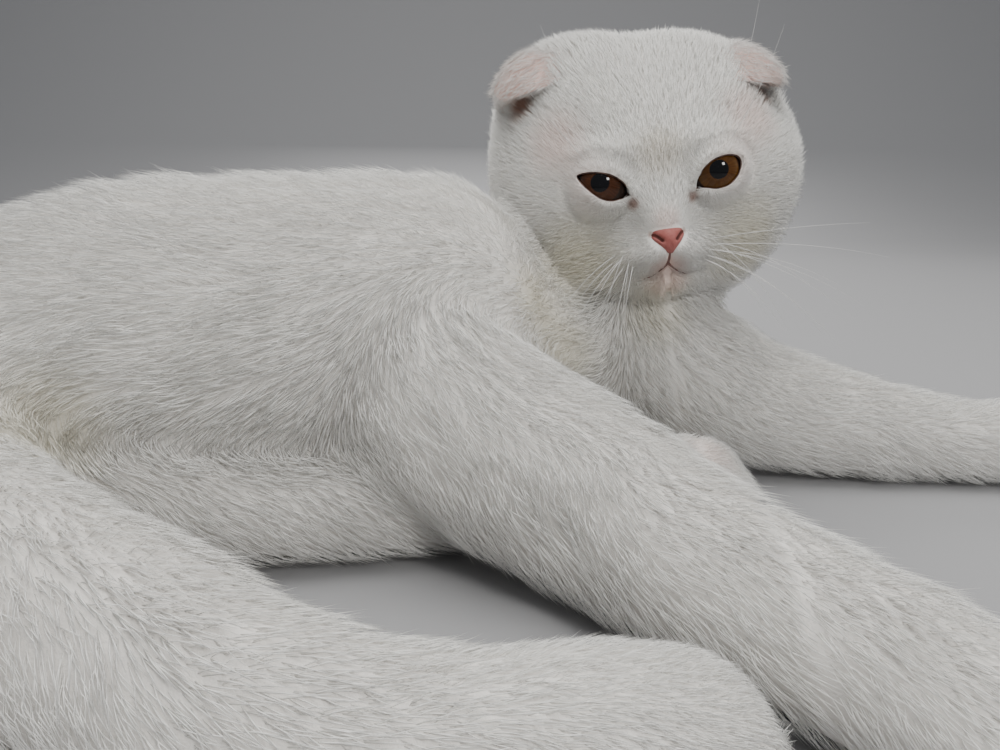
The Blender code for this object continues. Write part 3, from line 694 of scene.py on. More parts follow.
def join_pieces(name, pieces):
    """One object from several, in the cat's frame."""
    work = bmesh.new()
    for piece in pieces:
        work.from_mesh(piece.data)
    mesh = bpy.data.meshes.new(name)
    work.to_mesh(mesh)
    work.free()
    mesh.shade_smooth()
    discard(*pieces)
    return link(bpy.data.objects.new(name, mesh))


def lid_line(eye, radius, share=1.0):
    """The lid edge laid on a ball of this radius round the eye, in the head's frame."""
    outline = lid_outline(eye) - eye_middle(eye)[[0, 2]]
    outline = outline * share
    apart = (outline**2).sum(axis=1)
    depth = -np.sqrt(np.clip(radius**2 - apart, 0.1, None))
    return np.column_stack([outline[:, 0], depth, outline[:, 1]]) + eye_middle(eye)


def make_lid_rim(eye):
    """The dark, wet edge of the lids, thicker along the upper lid, and the inner corner."""
    line = lid_line(eye, EYE_RADIUS + 0.045)
    line = np.vstack([line, line[:1]])
    height = line[:, 2] - EYE_MIDDLE[2]
    radii = 0.033 + 0.016 * soft_step(height, -0.2, 0.4)
    rim = tube("rim", to_cat(line), radii, 8, HEAD_TURN @ np.array((0.0, 1.0, 0.0)))
    corner_at = lid_line(eye, EYE_RADIUS + 0.01, 0.9)[0]
    directions, faces = ball_points(14, 20)
    corner = mesh_piece("corner", to_cat(corner_at + directions * (0.15, 0.16, 0.15)) * CM, faces)
    side = "left" if eye["side"] > 0 else "right"
    lids = join_pieces("lid_rim_" + side, [rim, corner])
    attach(lids, "root")
    return lids


eyeballs = [make_eyeball(eye) for eye in EYES]
lid_rims = [make_lid_rim(eye) for eye in EYES]
print("eyes:", [len(ball.data.polygons) for ball in eyeballs], "faces each")

# %% [markdown]
# ## Nose and mouth
#
# The nose leather is a rounded wedge with a comma-shaped nostril on each side. It is made
# as a disc of rings laid on the face, raised in the middle, with the nostrils pressed in.
# How deep each point is pressed is kept as an attribute, so the material can darken the nostrils with painted
# shade.

# %% Nose leather
NOSE_HALF_WIDTH = 0.63
NOSE_TOP = 0.36
NOSE_BOTTOM = 0.52
NOSE_RELIEF = 0.15
NOSTRIL = ((0.25, -0.03), (0.31, 0.03), (0.38, 0.09), (0.46, 0.14), (0.58, 0.17))


def nose_width(up):
    """Half the width of the nose leather at a height above its middle: a wedge with
    rounded wings and a narrow foot."""
    share = np.clip((np.asarray(up, float) + NOSE_BOTTOM) / (NOSE_TOP + NOSE_BOTTOM), 0.0, 1.0)
    wedge = 0.11 + 0.89 * soft_step(share, -0.25, 0.8) ** 1.5
    return NOSE_HALF_WIDTH * wedge * np.sqrt(np.clip(1 - np.clip((share - 0.72) / 0.28, 0, 1) ** 2.6, 0, 1))


def make_nose():
    rings, segments = 30, 80
    line = smooth_run(NOSTRIL, 6)
    centre = face_point(*NOSE_MIDDLE, out=NOSE_RELIEF)
    points = [centre]
    hollow = [0.0]
    edge_up = np.linspace(-NOSE_BOTTOM, NOSE_TOP, 60)
    right = np.column_stack([nose_width(edge_up), edge_up])
    edge = np.vstack([right, right[::-1] * (-1, 1)])
    reach = np.concatenate([[0.0], np.cumsum(np.linalg.norm(np.diff(edge, axis=0), axis=1))])
    places = np.linspace(0, reach[-1], segments, endpoint=False)
    edge = np.column_stack([np.interp(places, reach, edge[:, k]) for k in (0, 1)])
    for ring in range(1, rings + 1):
        share = ring / rings
        for x, z in edge * share:
            gap = np.hypot(abs(x) - line[:, 0], z - line[:, 1]).min()
            pressed = math.exp(-((gap / 0.06) ** 2)) * (1 - 0.3 * share**6)
            relief = NOSE_RELIEF * (1 - share**3.2) - 0.15 * pressed - 0.03 * share**8
            relief -= 0.035 * math.exp(-((x / 0.05) ** 2)) * soft_step(-z, -0.1, 0.3)
            relief = max(relief, 0.015 - 0.05 * share**10)
            points.append(face_point(x, NOSE_MIDDLE[1] + z, out=relief))
            hollow.append(pressed)
    back = len(points)
    points.append(centre + (0.0, 0.55, 0.0))
    hollow.append(0.0)
    faces = []
    for side in range(segments):
        after = (side + 1) % segments
        faces.append((0, 1 + side, 1 + after))
        for ring in range(rings - 1):
            low = 1 + ring * segments
            faces.append((low + side, low + segments + side, low + segments + after, low + after))
        last = 1 + (rings - 1) * segments
        faces.append((last + side, back, last + after))
    nose = mesh_piece("nose_leather", to_cat(points) * CM, faces)
    shade = nose.data.attributes.new("hollow", "FLOAT", "POINT")
    shade.data.foreach_set("value", np.array(hollow, np.float32))
    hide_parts("nose")
    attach(nose, "root")
    return nose


nose = make_nose()
print("nose:", len(nose.data.polygons), "faces")


# %% Lips
def make_lips():
    """The parting of the lips and the groove that joins it to the nose, dark partly from the lips' own colour and
    partly with painted shade in these creases.
    """
    pieces = []
    top = NOSE_MIDDLE[1] - NOSE_BOTTOM + 0.04
    groove = [face_point(0.0, up, -0.02) for up in np.linspace(top, MOUTH_APEX - 0.03, 8)]
    pieces.append(tube("groove", to_cat(groove), np.linspace(0.045, 0.07, 8), 8, (1.0, 0.0, 0.0)))
    across = np.linspace(-MOUTH_HALF_WIDTH, MOUTH_HALF_WIDTH, 41)
    parting = [face_point(x, float(mouth_height(x)), -0.03) for x in across]
    radii = 0.015 + 0.05 * (1 - np.abs(across / MOUTH_HALF_WIDTH))
    pieces.append(tube("parting", to_cat(parting), radii, 8))
    lips = join_pieces("lips", pieces)
    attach(lips, "root")
    return lips


lips = make_lips()
print("lips:", len(lips.data.polygons), "faces")

# %% [markdown]
# ## Folded ears
#
# In this breed the gristle of the ear bends forward, so the tip lies over the opening like
# a cap. An ear is a sheet through five lines: it rises from its root behind, turns over at
# the crest and hangs in front to its free edge. A wall thickness and one subdivision make
# it a soft flap.

# %% Ears
EAR_LINES = (
    ((2.5, -0.4, 4.0), (4.1, 1.1, 3.6), (5.1, -0.2, 1.3)),
    ((2.5, -0.6, 4.6), (4.7, 0.7, 4.4), (5.75, -0.5, 2.4)),
    ((2.5, -1.0, 4.7), (4.75, -0.5, 4.85), (6.0, -1.1, 3.6)),
    ((2.6, -1.75, 4.3), (4.6, -1.95, 4.4), (6.0, -1.7, 3.4)),
    ((2.7, -2.2, 3.7), (4.2, -2.95, 3.35), (5.75, -2.15, 3.15)),
)
EAR_SHIFTS = {"ear_left": (1.0, (-0.8, 0.0, -0.9)), "ear_right": (-1.0, (0.6, 0.0, -0.15))}
EAR_WALL = 0.13
EAR_INSET = 0.1
EAR_PLACES = 25
EAR_STEPS = 5


def ear_grid(name):
    """The sheet of an ear in the cat's frame in cm: places across by steps over the fold."""
    side, shift = EAR_SHIFTS[name]
    rows = []
    for share in np.linspace(0.0, 1.0, EAR_PLACES):
        arc = [
            np.array(first) * (1 - share) * (1 - 2 * share)
            + np.array(last) * share * (2 * share - 1)
            + np.array(middle) * 4 * share * (1 - share)
            for first, middle, last in EAR_LINES
        ]
        rows.append(smooth_run(arc, EAR_STEPS))
    grid = np.array(rows) * (side, 1.0, 1.0) + np.array(shift)
    inward = unit(np.array((side * 4.2, -0.6, 2.6)) - grid)
    return to_cat(grid + inward * EAR_INSET)


def make_ear(name):
    grid = ear_grid(name)
    places, steps = grid.shape[:2]
    points = grid.reshape(-1, 3) * CM
    faces = [
        (p * steps + s, p * steps + s + 1, (p + 1) * steps + s + 1, (p + 1) * steps + s)
        for p in range(places - 1)
        for s in range(steps - 1)
    ]
    ear = mesh_piece(name + "_flap", points, faces)
    wall = ear.modifiers.new("wall", "SOLIDIFY")
    wall.thickness = EAR_WALL * CM
    wall.offset = 0.0
    soft = ear.modifiers.new("soft", "SUBSURF")
    soft.levels = soft.render_levels = 1
    bake_modifiers(ear)
    work = bmesh.new()
    work.from_mesh(ear.data)
    bmesh.ops.recalc_face_normals(work, faces=work.faces)
    bmesh.ops.triangulate(work, faces=work.faces)
    work.to_mesh(ear.data)
    work.free()
    ear.data.shade_smooth()
    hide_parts(name)
    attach(ear, "root")
    return ear, grid


ears = [make_ear(name) for name in EAR_SHIFTS]
print("ears:", [len(ear.data.polygons) for ear, _ in ears], "triangles")

# %% [markdown]
# ## Which way the coat lies
#
# Hair on a cat runs back from the nose over the head, along the trunk to the tail, and
# down each leg to the toes. Every point of the skin gets that direction from the centre
# lines, or from the nose on the head, laid flat on the skin and smoothed over its
# neighbours. Hair droops a little on the flanks, and beside the jaw it leads away from the
# head. A slow random swirl keeps it natural.

# %% Skin arrays
work = bmesh.new()
work.from_mesh(skin.data)
bmesh.ops.remove_doubles(work, verts=work.verts, dist=1e-6)
bmesh.ops.triangulate(work, faces=work.faces)
work.to_mesh(skin.data)
work.free()
skin.data.shade_smooth()
skin_at = coordinates(skin.data) / CM
skin_out = vertex_normals(skin.data)
skin_triangles = np.empty(3 * len(skin.data.polygons), np.int32)
skin.data.polygons.foreach_get("vertices", skin_triangles)
skin_triangles = skin_triangles.reshape(-1, 3)
skin_edges = np.empty(2 * len(skin.data.edges), np.int32)
skin.data.edges.foreach_get("vertices", skin_edges)
skin_edges = skin_edges.reshape(-1, 2)
print("skin:", len(skin_at), "points,", len(skin_triangles), "triangles")


# %% Slow random waves
def waves(points, seed, size):
    """A smooth random value from about -1 to 1, which changes over this many cm."""
    draw = np.random.default_rng(seed)
    total = np.zeros(len(points))
    for _ in range(6):
        pitch = unit(draw.normal(size=3)) * 2 * math.pi / (size * draw.uniform(0.7, 1.6))
        total += np.sin(points @ pitch + draw.uniform(0, 2 * math.pi))
    return total / 2.6


# %% Lie of the coat
def tangent(normals, vectors):
    """The part of each vector that runs along the skin."""
    return vectors - (vectors * normals).sum(axis=1)[:, None] * normals


def flat_on(normals, vectors):
    """The vectors laid flat on the skin, at length one."""
    return unit(tangent(normals, vectors))


def spread_out(values, edges, rounds):
    """Averages each value with its neighbours, several times."""
    count = np.bincount(edges.ravel(), minlength=len(values)).astype(float) + 1.0
    for _ in range(rounds):
        total = values.copy()
        for column in range(values.shape[1]):
            total[:, column] += np.bincount(edges[:, 0], values[edges[:, 1], column], len(values))
            total[:, column] += np.bincount(edges[:, 1], values[edges[:, 0], column], len(values))
        values = total / count[:, None]
    return values


def head_lie(points):
    """On the head, hair runs away from the nose, and on the lids away from the eye. On the
    lips it runs out along them."""
    inner = to_head(points)
    lie = unit(inner - (0.0, -4.7, -2.35))
    front = soft_step(-inner[:, 1], 1.5, 3.0)
    lip = front * np.exp(-((np.hypot(inner[:, 0] / 1.3, (inner[:, 2] + 3.4) / 0.7)) ** 4))
    aside = np.clip(inner[:, :1] / 0.4, -1, 1)
    lie = lie + 1.3 * lip[:, None] * (aside * (1.0, 0.0, 0.0) + (0.0, 0.0, -0.3))
    for eye in EYES:
        middle = eye_middle(eye)
        apart = inner - middle
        apart[:, 1] = 0.0
        near = front * np.exp(-((np.linalg.norm(apart, axis=1) / 1.25) ** 4))
        lie = lie + 1.6 * near[:, None] * unit(apart)
    lie[:, 2] -= 0.25 * soft_step(-inner[:, 2], -0.5, 2.5)
    return lie @ HEAD_TURN.T


found, shares = form_shares(skin_at)
lie = head_lie(skin_at) * shares[-1][:, None]
for row, name in enumerate(LINES):
    lie += found[name][1] * shares[row][:, None]
lie[:, 2] -= 0.22 * (1 - shares[-1])
by_head = (1 - soft_step(outside_head(skin_at), 0.5, 3.0)) * (1 - shares[-1])
by_head *= 1 - soft_step(skin_at[:, 0], 9.5, 11.5)
lie += 1.4 * by_head[:, None] * unit(skin_at - HEAD_MIDDLE)
lie = tangent(skin_out, lie)
off_face = soft_step(to_head(skin_at)[:, 1], -3.5, 0.0)[:, None]
spread = spread_out(lie, skin_edges, 45)
lie = flat_on(skin_out, spread * off_face + spread_out(lie, skin_edges, 3) * (1 - off_face))
swirl = np.radians(11.0) * waves(skin_at, 5, 5.0) + np.radians(7.0) * waves(skin_at, 6, 1.6)
swirl *= 1 - 0.6 * shares[-1]
lie = lie * np.cos(swirl)[:, None] + np.cross(skin_out, lie) * np.sin(swirl)[:, None]

# %% Hair sizes on the skin
def lip_gap(inner):
    """How far a point is from the parting of the lips and the groove over it, in cm."""
    across = np.clip(inner[:, 0], -MOUTH_HALF_WIDTH, MOUTH_HALF_WIDTH)
    gap = np.hypot(inner[:, 0] - across, inner[:, 2] - mouth_height(across))
    groove_end = np.clip(inner[:, 2], MOUTH_APEX, NOSE_MIDDLE[1])
    gap = np.minimum(gap, np.hypot(inner[:, 0], inner[:, 2] - groove_end))
    return gap + 9.0 * (inner[:, 1] > -3.0)


head_say = shares[-1]
body_hair = hair_at(skin_at)
inner = to_head(skin_at)
face_depth = head_depth(inner)
length = body_hair[:, 0] * (1 - head_say) + (0.2 + 2.2 * face_depth) * head_say
depth = body_hair[:, 1] * (1 - head_say) + face_depth * head_say
length = length * (1 + 0.1 * waves(skin_at, 9, 2.5)) * (1 - 0.62 * by_head)
locks = waves(skin_at, 12, 1.5) * (1 - head_say) + 0.3 * waves(skin_at, 13, 0.9) * head_say
depth = depth * (1 + 0.22 * locks)
over_lip = soft_step(inner[:, 2] - mouth_height(inner[:, 0]), -0.05, 0.1)
length = np.minimum(length, 0.14 - 0.08 * over_lip + (0.8 - 0.15 * over_lip) * lip_gap(inner))
depth = np.minimum(depth, 0.4 * length)


def bare(inner):
    """Where no tuft grows: the nose, the parting of the lips and inside the lids."""
    up = inner[:, 2] - NOSE_MIDDLE[1]
    found = (inner[:, 1] < -3.0) & (up < NOSE_TOP) & (np.abs(inner[:, 0]) < 0.93 * nose_width(up))
    found |= lip_gap(inner) < 0.03
    for eye in EYES:
        found |= np.linalg.norm(inner - eye_middle(eye), axis=1) < EYE_RADIUS + 0.075
    return found


print("hair from", round(length.min(), 2), "to", round(length.max(), 2), "cm long")

# %% [markdown]
# ## Tufts
#
# Short fur is too fine to model hair by hair. A tuft stands for a few dozen hairs that
# cling together: a thin three-sided spike that leaves the skin at a slant, bends over and
# ends in a point. Seven points and ten triangles are enough. All tufts are made at once
# from arrays, because a loop over a hundred thousand of them would be slow. Neighbours are
# drawn towards a shared tip, which parts the coat into the small locks of real plush fur.

# %% Scatter roots
def scatter(points, triangles, density, draw):
    """Roots spread over the triangles, as triangle numbers and corner shares."""
    corners = points[triangles]
    area = np.linalg.norm(
        np.cross(corners[:, 1] - corners[:, 0], corners[:, 2] - corners[:, 0]), axis=1
    ) / 2
    weight = np.cumsum(area * density[triangles].mean(axis=1))
    count = int(weight[-1])
    stratum = (np.arange(count) + draw.uniform(size=count)) * weight[-1] / count
    chosen = np.minimum(np.searchsorted(weight, stratum), len(triangles) - 1)
    a, b = draw.uniform(size=(2, count))
    flip = a + b > 1
    a, b = np.where(flip, 1 - a, a), np.where(flip, 1 - b, b)
    return chosen, np.column_stack([1 - a - b, a, b])


def carried(values, triangles, chosen, parts):
    """A value of the skin's points, read at the roots."""
    corners = values[triangles[chosen]]
    if corners.ndim == 3:
        return (corners * parts[:, :, None]).sum(axis=1)
    return (corners * parts).sum(axis=1)


def tuft_width(length):
    return 0.010 + 0.021 * length**0.8


def parting(points, edges, lie):
    """How fast neighbouring hairs lead away from each other, per cm."""
    step = points[edges[:, 1]] - points[edges[:, 0]]
    turn = ((lie[edges[:, 1]] - lie[edges[:, 0]]) * step).sum(axis=1) / (step**2).sum(axis=1)
    total = np.bincount(edges.ravel("F"), np.tile(turn, 2), len(points))
    return 2 * total / np.maximum(np.bincount(edges.ravel("F"), minlength=len(points)), 1)


# %% Build tufts
TUFT_TRIANGLES = np.array(
    [(0, 2, 1)]
    + [face for k in range(3) for face in (
        (k, (k + 1) % 3, 3 + (k + 1) % 3), (k, 3 + (k + 1) % 3, 3 + k),
        (3 + k, 3 + (k + 1) % 3, 6))]
)
TUFT_ALONG = np.array([0, 0, 0, 0.48, 0.48, 0.48, 1.0])
TUFT_ROUND = np.array([0.1, 0.5, 0.9, 0.1, 0.5, 0.9, 0.5])
PATCH = 0.003
END_SLANT = math.radians(8.0)


FLATNESS = 0.4


def tuft_shape(roots, normals, lies, lengths, depths, draw, pull, wild):
    """The seven points of each tuft, in cm."""
    count = len(roots)
    lengths = lengths * draw.uniform(0.78, 1.18, count)
    yaw = draw.normal(size=count) * math.radians(11.0)
    lies = lies * np.cos(yaw)[:, None] + np.cross(normals, lies) * np.sin(yaw)[:, None]
    end = END_SLANT + np.abs(draw.normal(size=count)) * math.radians(5.0)
    end = np.where(draw.uniform(size=count) < wild, end + math.radians(16.0), end)
    rise = (depths / lengths - 0.55 * np.sin(END_SLANT)) / 0.45
    start = np.arcsin(np.clip(rise * draw.uniform(0.75, 1.12, count), 0.08, 0.86))
    first = lies * np.cos(start)[:, None] + normals * np.sin(start)[:, None]
    second = lies * np.cos(end)[:, None] + normals * np.sin(end)[:, None]
    middle = roots + first * (0.45 * lengths)[:, None]
    tip = middle + second * (0.55 * lengths)[:, None]
    leaders = draw.choice(count, max(count // 13, 1), replace=False)
    tree = KDTree(len(leaders))
    for place, leader in enumerate(leaders):
        tree.insert(roots[leader], place)
    tree.balance()
    follow = leaders[[tree.find(root)[1] for root in roots]]
    tip += pull * draw.uniform(0.5, 1.3, count)[:, None] * (tip[follow] - tip)
    middle += 0.35 * pull * (middle[follow] - middle)
    half = tuft_width(lengths)[:, None] / 2
    across = unit(np.cross(normals, first))
    rings = []
    for centre, ahead, size in ((roots - normals * 0.04, first, 0.75), (middle, unit(tip - roots), 1.0)):
        lifted = np.cross(ahead, across)
        for angle in np.radians((90.0, 210.0, 330.0)):
            offset = math.cos(angle) * across + FLATNESS * math.sin(angle) * lifted
            rings.append(centre + half * size * offset)
    points = np.stack([*rings, tip], axis=1)
    points[:, :, 2] = np.maximum(points[:, :, 2], 0.03)
    return points


def tuft_piece(name, shape, places):
    """A coat piece from the tufts' points, with a patch of the unwrap for each tuft."""
    count = len(shape)
    triangles = (TUFT_TRIANGLES[None] + 7 * np.arange(count)[:, None, None]).reshape(-1, 3)
    piece = triangle_piece(name, shape.reshape(-1, 3) * CM, triangles)
    layer = piece.data.uv_layers.new(name="OFBake")
    local = np.column_stack([TUFT_ROUND, TUFT_ALONG]) - 0.5
    spots = (places[:, None, :] + PATCH * local[None]).reshape(-1, 2)
    layer.data.foreach_set("uv", spots[triangles.ravel()].astype(np.float32).ravel())
    along = piece.data.attributes.new("along", "FLOAT", "POINT")
    along.data.foreach_set("value", np.tile(TUFT_ALONG, count).astype(np.float32))
    shade = piece.data.attributes.new("shade", "FLOAT", "POINT")
    tone = np.random.default_rng(count).uniform(0, 1, count)
    shade.data.foreach_set("value", np.repeat(tone, 7).astype(np.float32))
    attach(piece, "root")
    return piece


# %% Coat the skin
COVER = 1.1
HEAD_COVER = 1.7
MOST_TUFTS = 19600
draw = np.random.default_rng(21)
density = COVER * (1 - head_say) + HEAD_COVER * head_say
density /= 0.6 * length * tuft_width(length)
opened = length * spread_out(parting(skin_at, skin_edges, lie)[:, None], skin_edges, 2)[:, 0]
density *= 1 + np.clip(0.9 * opened - 0.25, 0.0, 2.5)
density = np.where(bare(inner), 0.0, density)
density *= 1 - 0.55 * (skin_out[:, 2] < -0.8) * (skin_at[:, 2] < 1.2)
chosen, parts = scatter(skin_at, skin_triangles, density, draw)
read = lambda values: carried(values, skin_triangles, chosen, parts)
roots, normals, lies = read(skin_at), unit(read(skin_out)), read(lie)
lies = flat_on(normals, lies)
root_length, root_depth = read(length), read(depth)
keep = ~bare(to_head(roots))
print("roots:", len(roots), "kept:", keep.sum())
shape = tuft_shape(roots, normals, lies, root_length, root_depth, draw, 0.22, 0.04)
shape, roots = shape[keep], roots[keep]


# %% Part the coat
def spot_on_unwrap(name, points):
    """The place of each root on the form's own unwrap: round it and along it."""
    if name == "head":
        inner = unit(to_head(points))
        polar = np.arccos(np.clip(-inner[:, 1], -1, 1))
        turn = np.arctan2(inner[:, 2], inner[:, 0])
        low, high = polar.min(), polar.max()
        reach = 0.48 * ((polar - low * 0.9) / (high - low * 0.9)) ** 0.7
        return np.column_stack([0.5 + reach * np.cos(turn), 0.5 + reach * np.sin(turn)])
    _, _, along, around = along_line(name, points)
    low, high = along.min(), along.max()
    return np.column_stack([0.02 + 0.96 * around, 0.02 + 0.96 * (along - low) / (high - low)])


owner = form_shares(roots)[1].argmax(axis=0)
coat = []
for row, name in enumerate([*LINES, "head"]):
    mine = np.flatnonzero(owner == row)
    if name == "head":
        order = to_head(roots[mine])[:, 1]
    else:
        order = along_line(name, roots[mine])[2]
    mine = mine[np.argsort(order)]
    lengths_of = np.array_split(mine, max(1, math.ceil(len(mine) / MOST_TUFTS)))
    for number, part in enumerate(lengths_of):
        title = f"coat_{name}_{number + 1}" if len(lengths_of) > 1 else f"coat_{name}"
        coat.append(tuft_piece(title, shape[part], spot_on_unwrap(name, roots[part])))
print("coat:", {piece.name: len(piece.data.polygons) for piece in coat})
print("coat triangles:", sum(len(piece.data.polygons) for piece in coat))

# %% [markdown]
# The ears carry fur too, but thin enough for the pink skin to show. It runs from the root
# over the fold and out towards the tip, and a fringe stands past the free edge.

# %% Ear fur
EAR_HAIR = 0.68
EAR_DENSITY = 150.0


def ear_coat(ear, grid, name, draw):
    at = coordinates(ear.data) / CM
    out = vertex_normals(ear.data)
    triangles = np.empty(3 * len(ear.data.polygons), np.int32)
    ear.data.polygons.foreach_get("vertices", triangles)
    triangles = triangles.reshape(-1, 3)
    over = unit(np.gradient(grid, axis=1)).reshape(-1, 3)
    sideways = unit(np.gradient(grid, axis=0)).reshape(-1, 3)
    bent = np.tile(np.linspace(0, 1, grid.shape[1]), grid.shape[0])[:, None]
    flow = unit((0.9 - 0.5 * bent) * over + (0.5 + 0.4 * bent) * sideways)
    tree = KDTree(len(flow))
    for number, point in enumerate(grid.reshape(-1, 3)):
        tree.insert(point, number)
    tree.balance()
    chosen, parts = scatter(at, triangles, np.full(len(at), EAR_DENSITY), draw)
    roots = carried(at, triangles, chosen, parts)
    normals = unit(carried(out, triangles, chosen, parts))
    nearest = np.array([tree.find(root)[1] for root in roots])
    lies = flat_on(normals, flow[nearest])
    step = (nearest % grid.shape[1]) / (grid.shape[1] - 1)
    place = (nearest // grid.shape[1]) / (grid.shape[0] - 1)
    lengths = EAR_HAIR * draw.uniform(0.7, 1.2, len(roots)) * (1 - 0.3 * soft_step(step, 0.4, 0.9))
    depths = lengths * 0.26
    shape = tuft_shape(roots, normals, lies, lengths, depths, draw, 0.3, 0.05)
    jitter = draw.uniform(-0.02, 0.02, (len(roots), 2))
    facing = 0.25 * ((normals * (roots - to_cat((0, 0, 0)))).sum(axis=1) < 0)
    places = np.column_stack([0.04 + 0.9 * place, 0.04 + 0.44 * step + 2 * facing]) + jitter
    return tuft_piece("coat_" + name, shape, places.clip(0.01, 0.99))


ear_coats = [
    ear_coat(ear, grid, name, np.random.default_rng(31))
    for (ear, grid), name in zip(ears, EAR_SHIFTS)
]
print("ear fur:", [len(piece.data.polygons) for piece in ear_coats])

# %% [markdown]
# ## Whiskers
#
# Whiskers are stiff, white and tapered. Each is a curve from its root on the muzzle, or
# above the eye, to its tip. Geometry Nodes turn all the curves into tubes at once: the
# tree sweeps a small circle along them and thins it towards the tip.

# %% Whisker routes
# root across and up the face, then the tip's offset across, forward and up, in cm
LEFT_WHISKERS = (
    (1.45, -2.65, 5.3, 0.9, -0.1), (1.5, -2.85, 6.2, 1.0, -1.1), (1.3, -2.95, 5.6, 1.2, -2.5),
    (1.6, -3.0, 4.7, 1.2, -3.1), (1.2, -3.1, 4.6, 1.5, -3.8), (1.45, -3.2, 3.6, 1.3, -3.0),
    (1.7, -2.8, 3.4, 1.0, -2.3), (1.15, -3.25, 2.7, 1.5, -3.0), (1.6, -2.7, 2.6, 1.1, -3.6),
    (1.35, -3.35, 1.9, 1.3, -2.4), (1.75, -3.1, 4.2, 0.9, -1.9),
)
RIGHT_WHISKERS = (
    (1.45, -2.75, 1.3, 0.9, -3.2), (1.5, -2.9, 1.9, 1.0, -2.9), (1.3, -3.0, 1.1, 1.2, -3.5),
    (1.6, -3.0, 2.5, 1.0, -3.3), (1.2, -3.15, 0.8, 1.3, -2.7), (1.7, -2.8, 2.8, 0.8, -2.4),
    (1.45, -3.2, 1.5, 1.1, -2.3), (1.75, -3.05, 2.1, 0.7, -2.0), (1.35, -3.3, 0.5, 1.0, -1.9),
)
BROW_WHISKERS = ((2.1, 0.75, 1.5, 0.7, 4.3), (2.5, 0.6, 1.9, 0.4, 3.2), (1.8, 0.7, 0.6, 0.7, 2.6))


def whisker_points(across, up, out, forward, rise, side):
    start = face_point(side * across, up, -0.05)
    end = start + np.array((side * out, -forward * 0.35, rise))
    bend = start + np.array((side * out * 0.5, -forward, rise * 0.3 + 0.25))
    t = np.linspace(0, 1, 18)[:, None]
    return to_cat((1 - t) ** 2 * start + 2 * t * (1 - t) * bend + t**2 * end) * CM


def whisker_curves():
    draw = np.random.default_rng(7)
    data = bpy.data.curves.new("whiskers", "CURVE")
    data.dimensions = "3D"
    for side, whiskers in ((1.0, LEFT_WHISKERS), (-1.0, RIGHT_WHISKERS)):
        for across, up, out, forward, rise in whiskers + BROW_WHISKERS:
            wobble = draw.uniform(0.93, 1.07, 3)
            route = whisker_points(across, up, *(wobble * (out, forward, rise)), side)
            spline = data.splines.new("POLY")
            spline.points.add(len(route) - 1)
            spline.points.foreach_set("co", np.column_stack([route, np.ones(len(route))]).ravel())
            spline.points.foreach_set("radius", np.linspace(1.0, 0.15, len(route)))
    return link(bpy.data.objects.new("whisker curves", data))


# %% Whisker tubes
def whisker_tree(material):
    """Curves in, tapered tubes out. The inputs are the thickness and the sides."""
    tree = bpy.data.node_groups.new("whisker tubes", "GeometryNodeTree")
    tree.is_modifier = True
    tree.interface.new_socket("Geometry", in_out="INPUT", socket_type="NodeSocketGeometry")
    thickness = tree.interface.new_socket("Thickness", in_out="INPUT", socket_type="NodeSocketFloat")
    thickness.default_value = 0.00017
    sides = tree.interface.new_socket("Sides", in_out="INPUT", socket_type="NodeSocketInt")
    sides.default_value = 6
    tree.interface.new_socket("Geometry", in_out="OUTPUT", socket_type="NodeSocketGeometry")
    add = tree.nodes.new
    start, end = add("NodeGroupInput"), add("NodeGroupOutput")
    circle, radius = add("GeometryNodeCurvePrimitiveCircle"), add("GeometryNodeInputRadius")
    sweep, realize = add("GeometryNodeCurveToMesh"), add("GeometryNodeRealizeInstances")
    paint = add("GeometryNodeSetMaterial")
    sweep.inputs["Fill Caps"].default_value = True
    paint.inputs["Material"].default_value = material
    wire = tree.links.new
    wire(start.outputs["Geometry"], sweep.inputs["Curve"])
    wire(start.outputs["Thickness"], circle.inputs["Radius"])
    wire(start.outputs["Sides"], circle.inputs["Resolution"])
    wire(circle.outputs["Curve"], sweep.inputs["Profile Curve"])
    wire(radius.outputs["Radius"], sweep.inputs["Scale"])
    wire(sweep.outputs["Mesh"], realize.inputs["Geometry"])
    wire(realize.outputs["Geometry"], paint.inputs["Geometry"])
    wire(paint.outputs["Geometry"], end.inputs["Geometry"])
    return tree


def make_whiskers(material):
    guide = whisker_curves()
    grow = guide.modifiers.new("grow", "NODES")
    grow.node_group = whisker_tree(material)
    for item in grow.node_group.interface.items_tree:
        if item.in_out == "INPUT" and item.name == "Thickness":
            grow[item.identifier] = 0.00012
    graph = bpy.context.evaluated_depsgraph_get()
    mesh = bpy.data.meshes.new_from_object(guide.evaluated_get(graph))
    discard(guide)
    mesh.shade_smooth()
    whiskers = link(bpy.data.objects.new("whiskers", mesh))
    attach(whiskers, "root")
    return whiskers


white_hair = bpy.data.materials.new("white whisker")
white_hair.use_nodes = True
white_hair.node_tree.nodes["Principled BSDF"].inputs["Base Color"].default_value = (0.85, 0.84, 0.82, 1)
white_hair.node_tree.nodes["Principled BSDF"].inputs["Roughness"].default_value = 0.35
whiskers = make_whiskers(white_hair)
print("whiskers:", len(whiskers.data.polygons), "faces")

# %% [markdown]
# ## Colours
#
# The cat is white, but no white coat is one flat colour. It is pinker where the skin
# shines through at the temples, ears and chin. The yellow in the folds under the jaw, low
# on the cheeks, at the chest and in the crease between belly and thigh is painted shade,
# and so are the darker tan between the brows and the dark in the ear openings. The skin and
# the coat read the same tints, each a soft ball of colour round a named place of the cat,
# so the two always agree.

# %% Markings
WHITE = (0.95, 0.94, 0.91)
PINK = (0.82, 0.54, 0.48)
# yellowish painted shade: the folds under the jaw and chin, the lower cheeks, the chest and the belly-thigh crease
CREAM_SHADE = (0.76, 0.70, 0.50)
# a darker tan between the brows: painted shade
BROW_SHADE = (0.70, 0.60, 0.44)
# dark brown painted shade in the ear openings under the folded flaps
EAR_OPENING_SHADE = (0.33, 0.13, 0.07)
TEAR = (0.28, 0.13, 0.09)
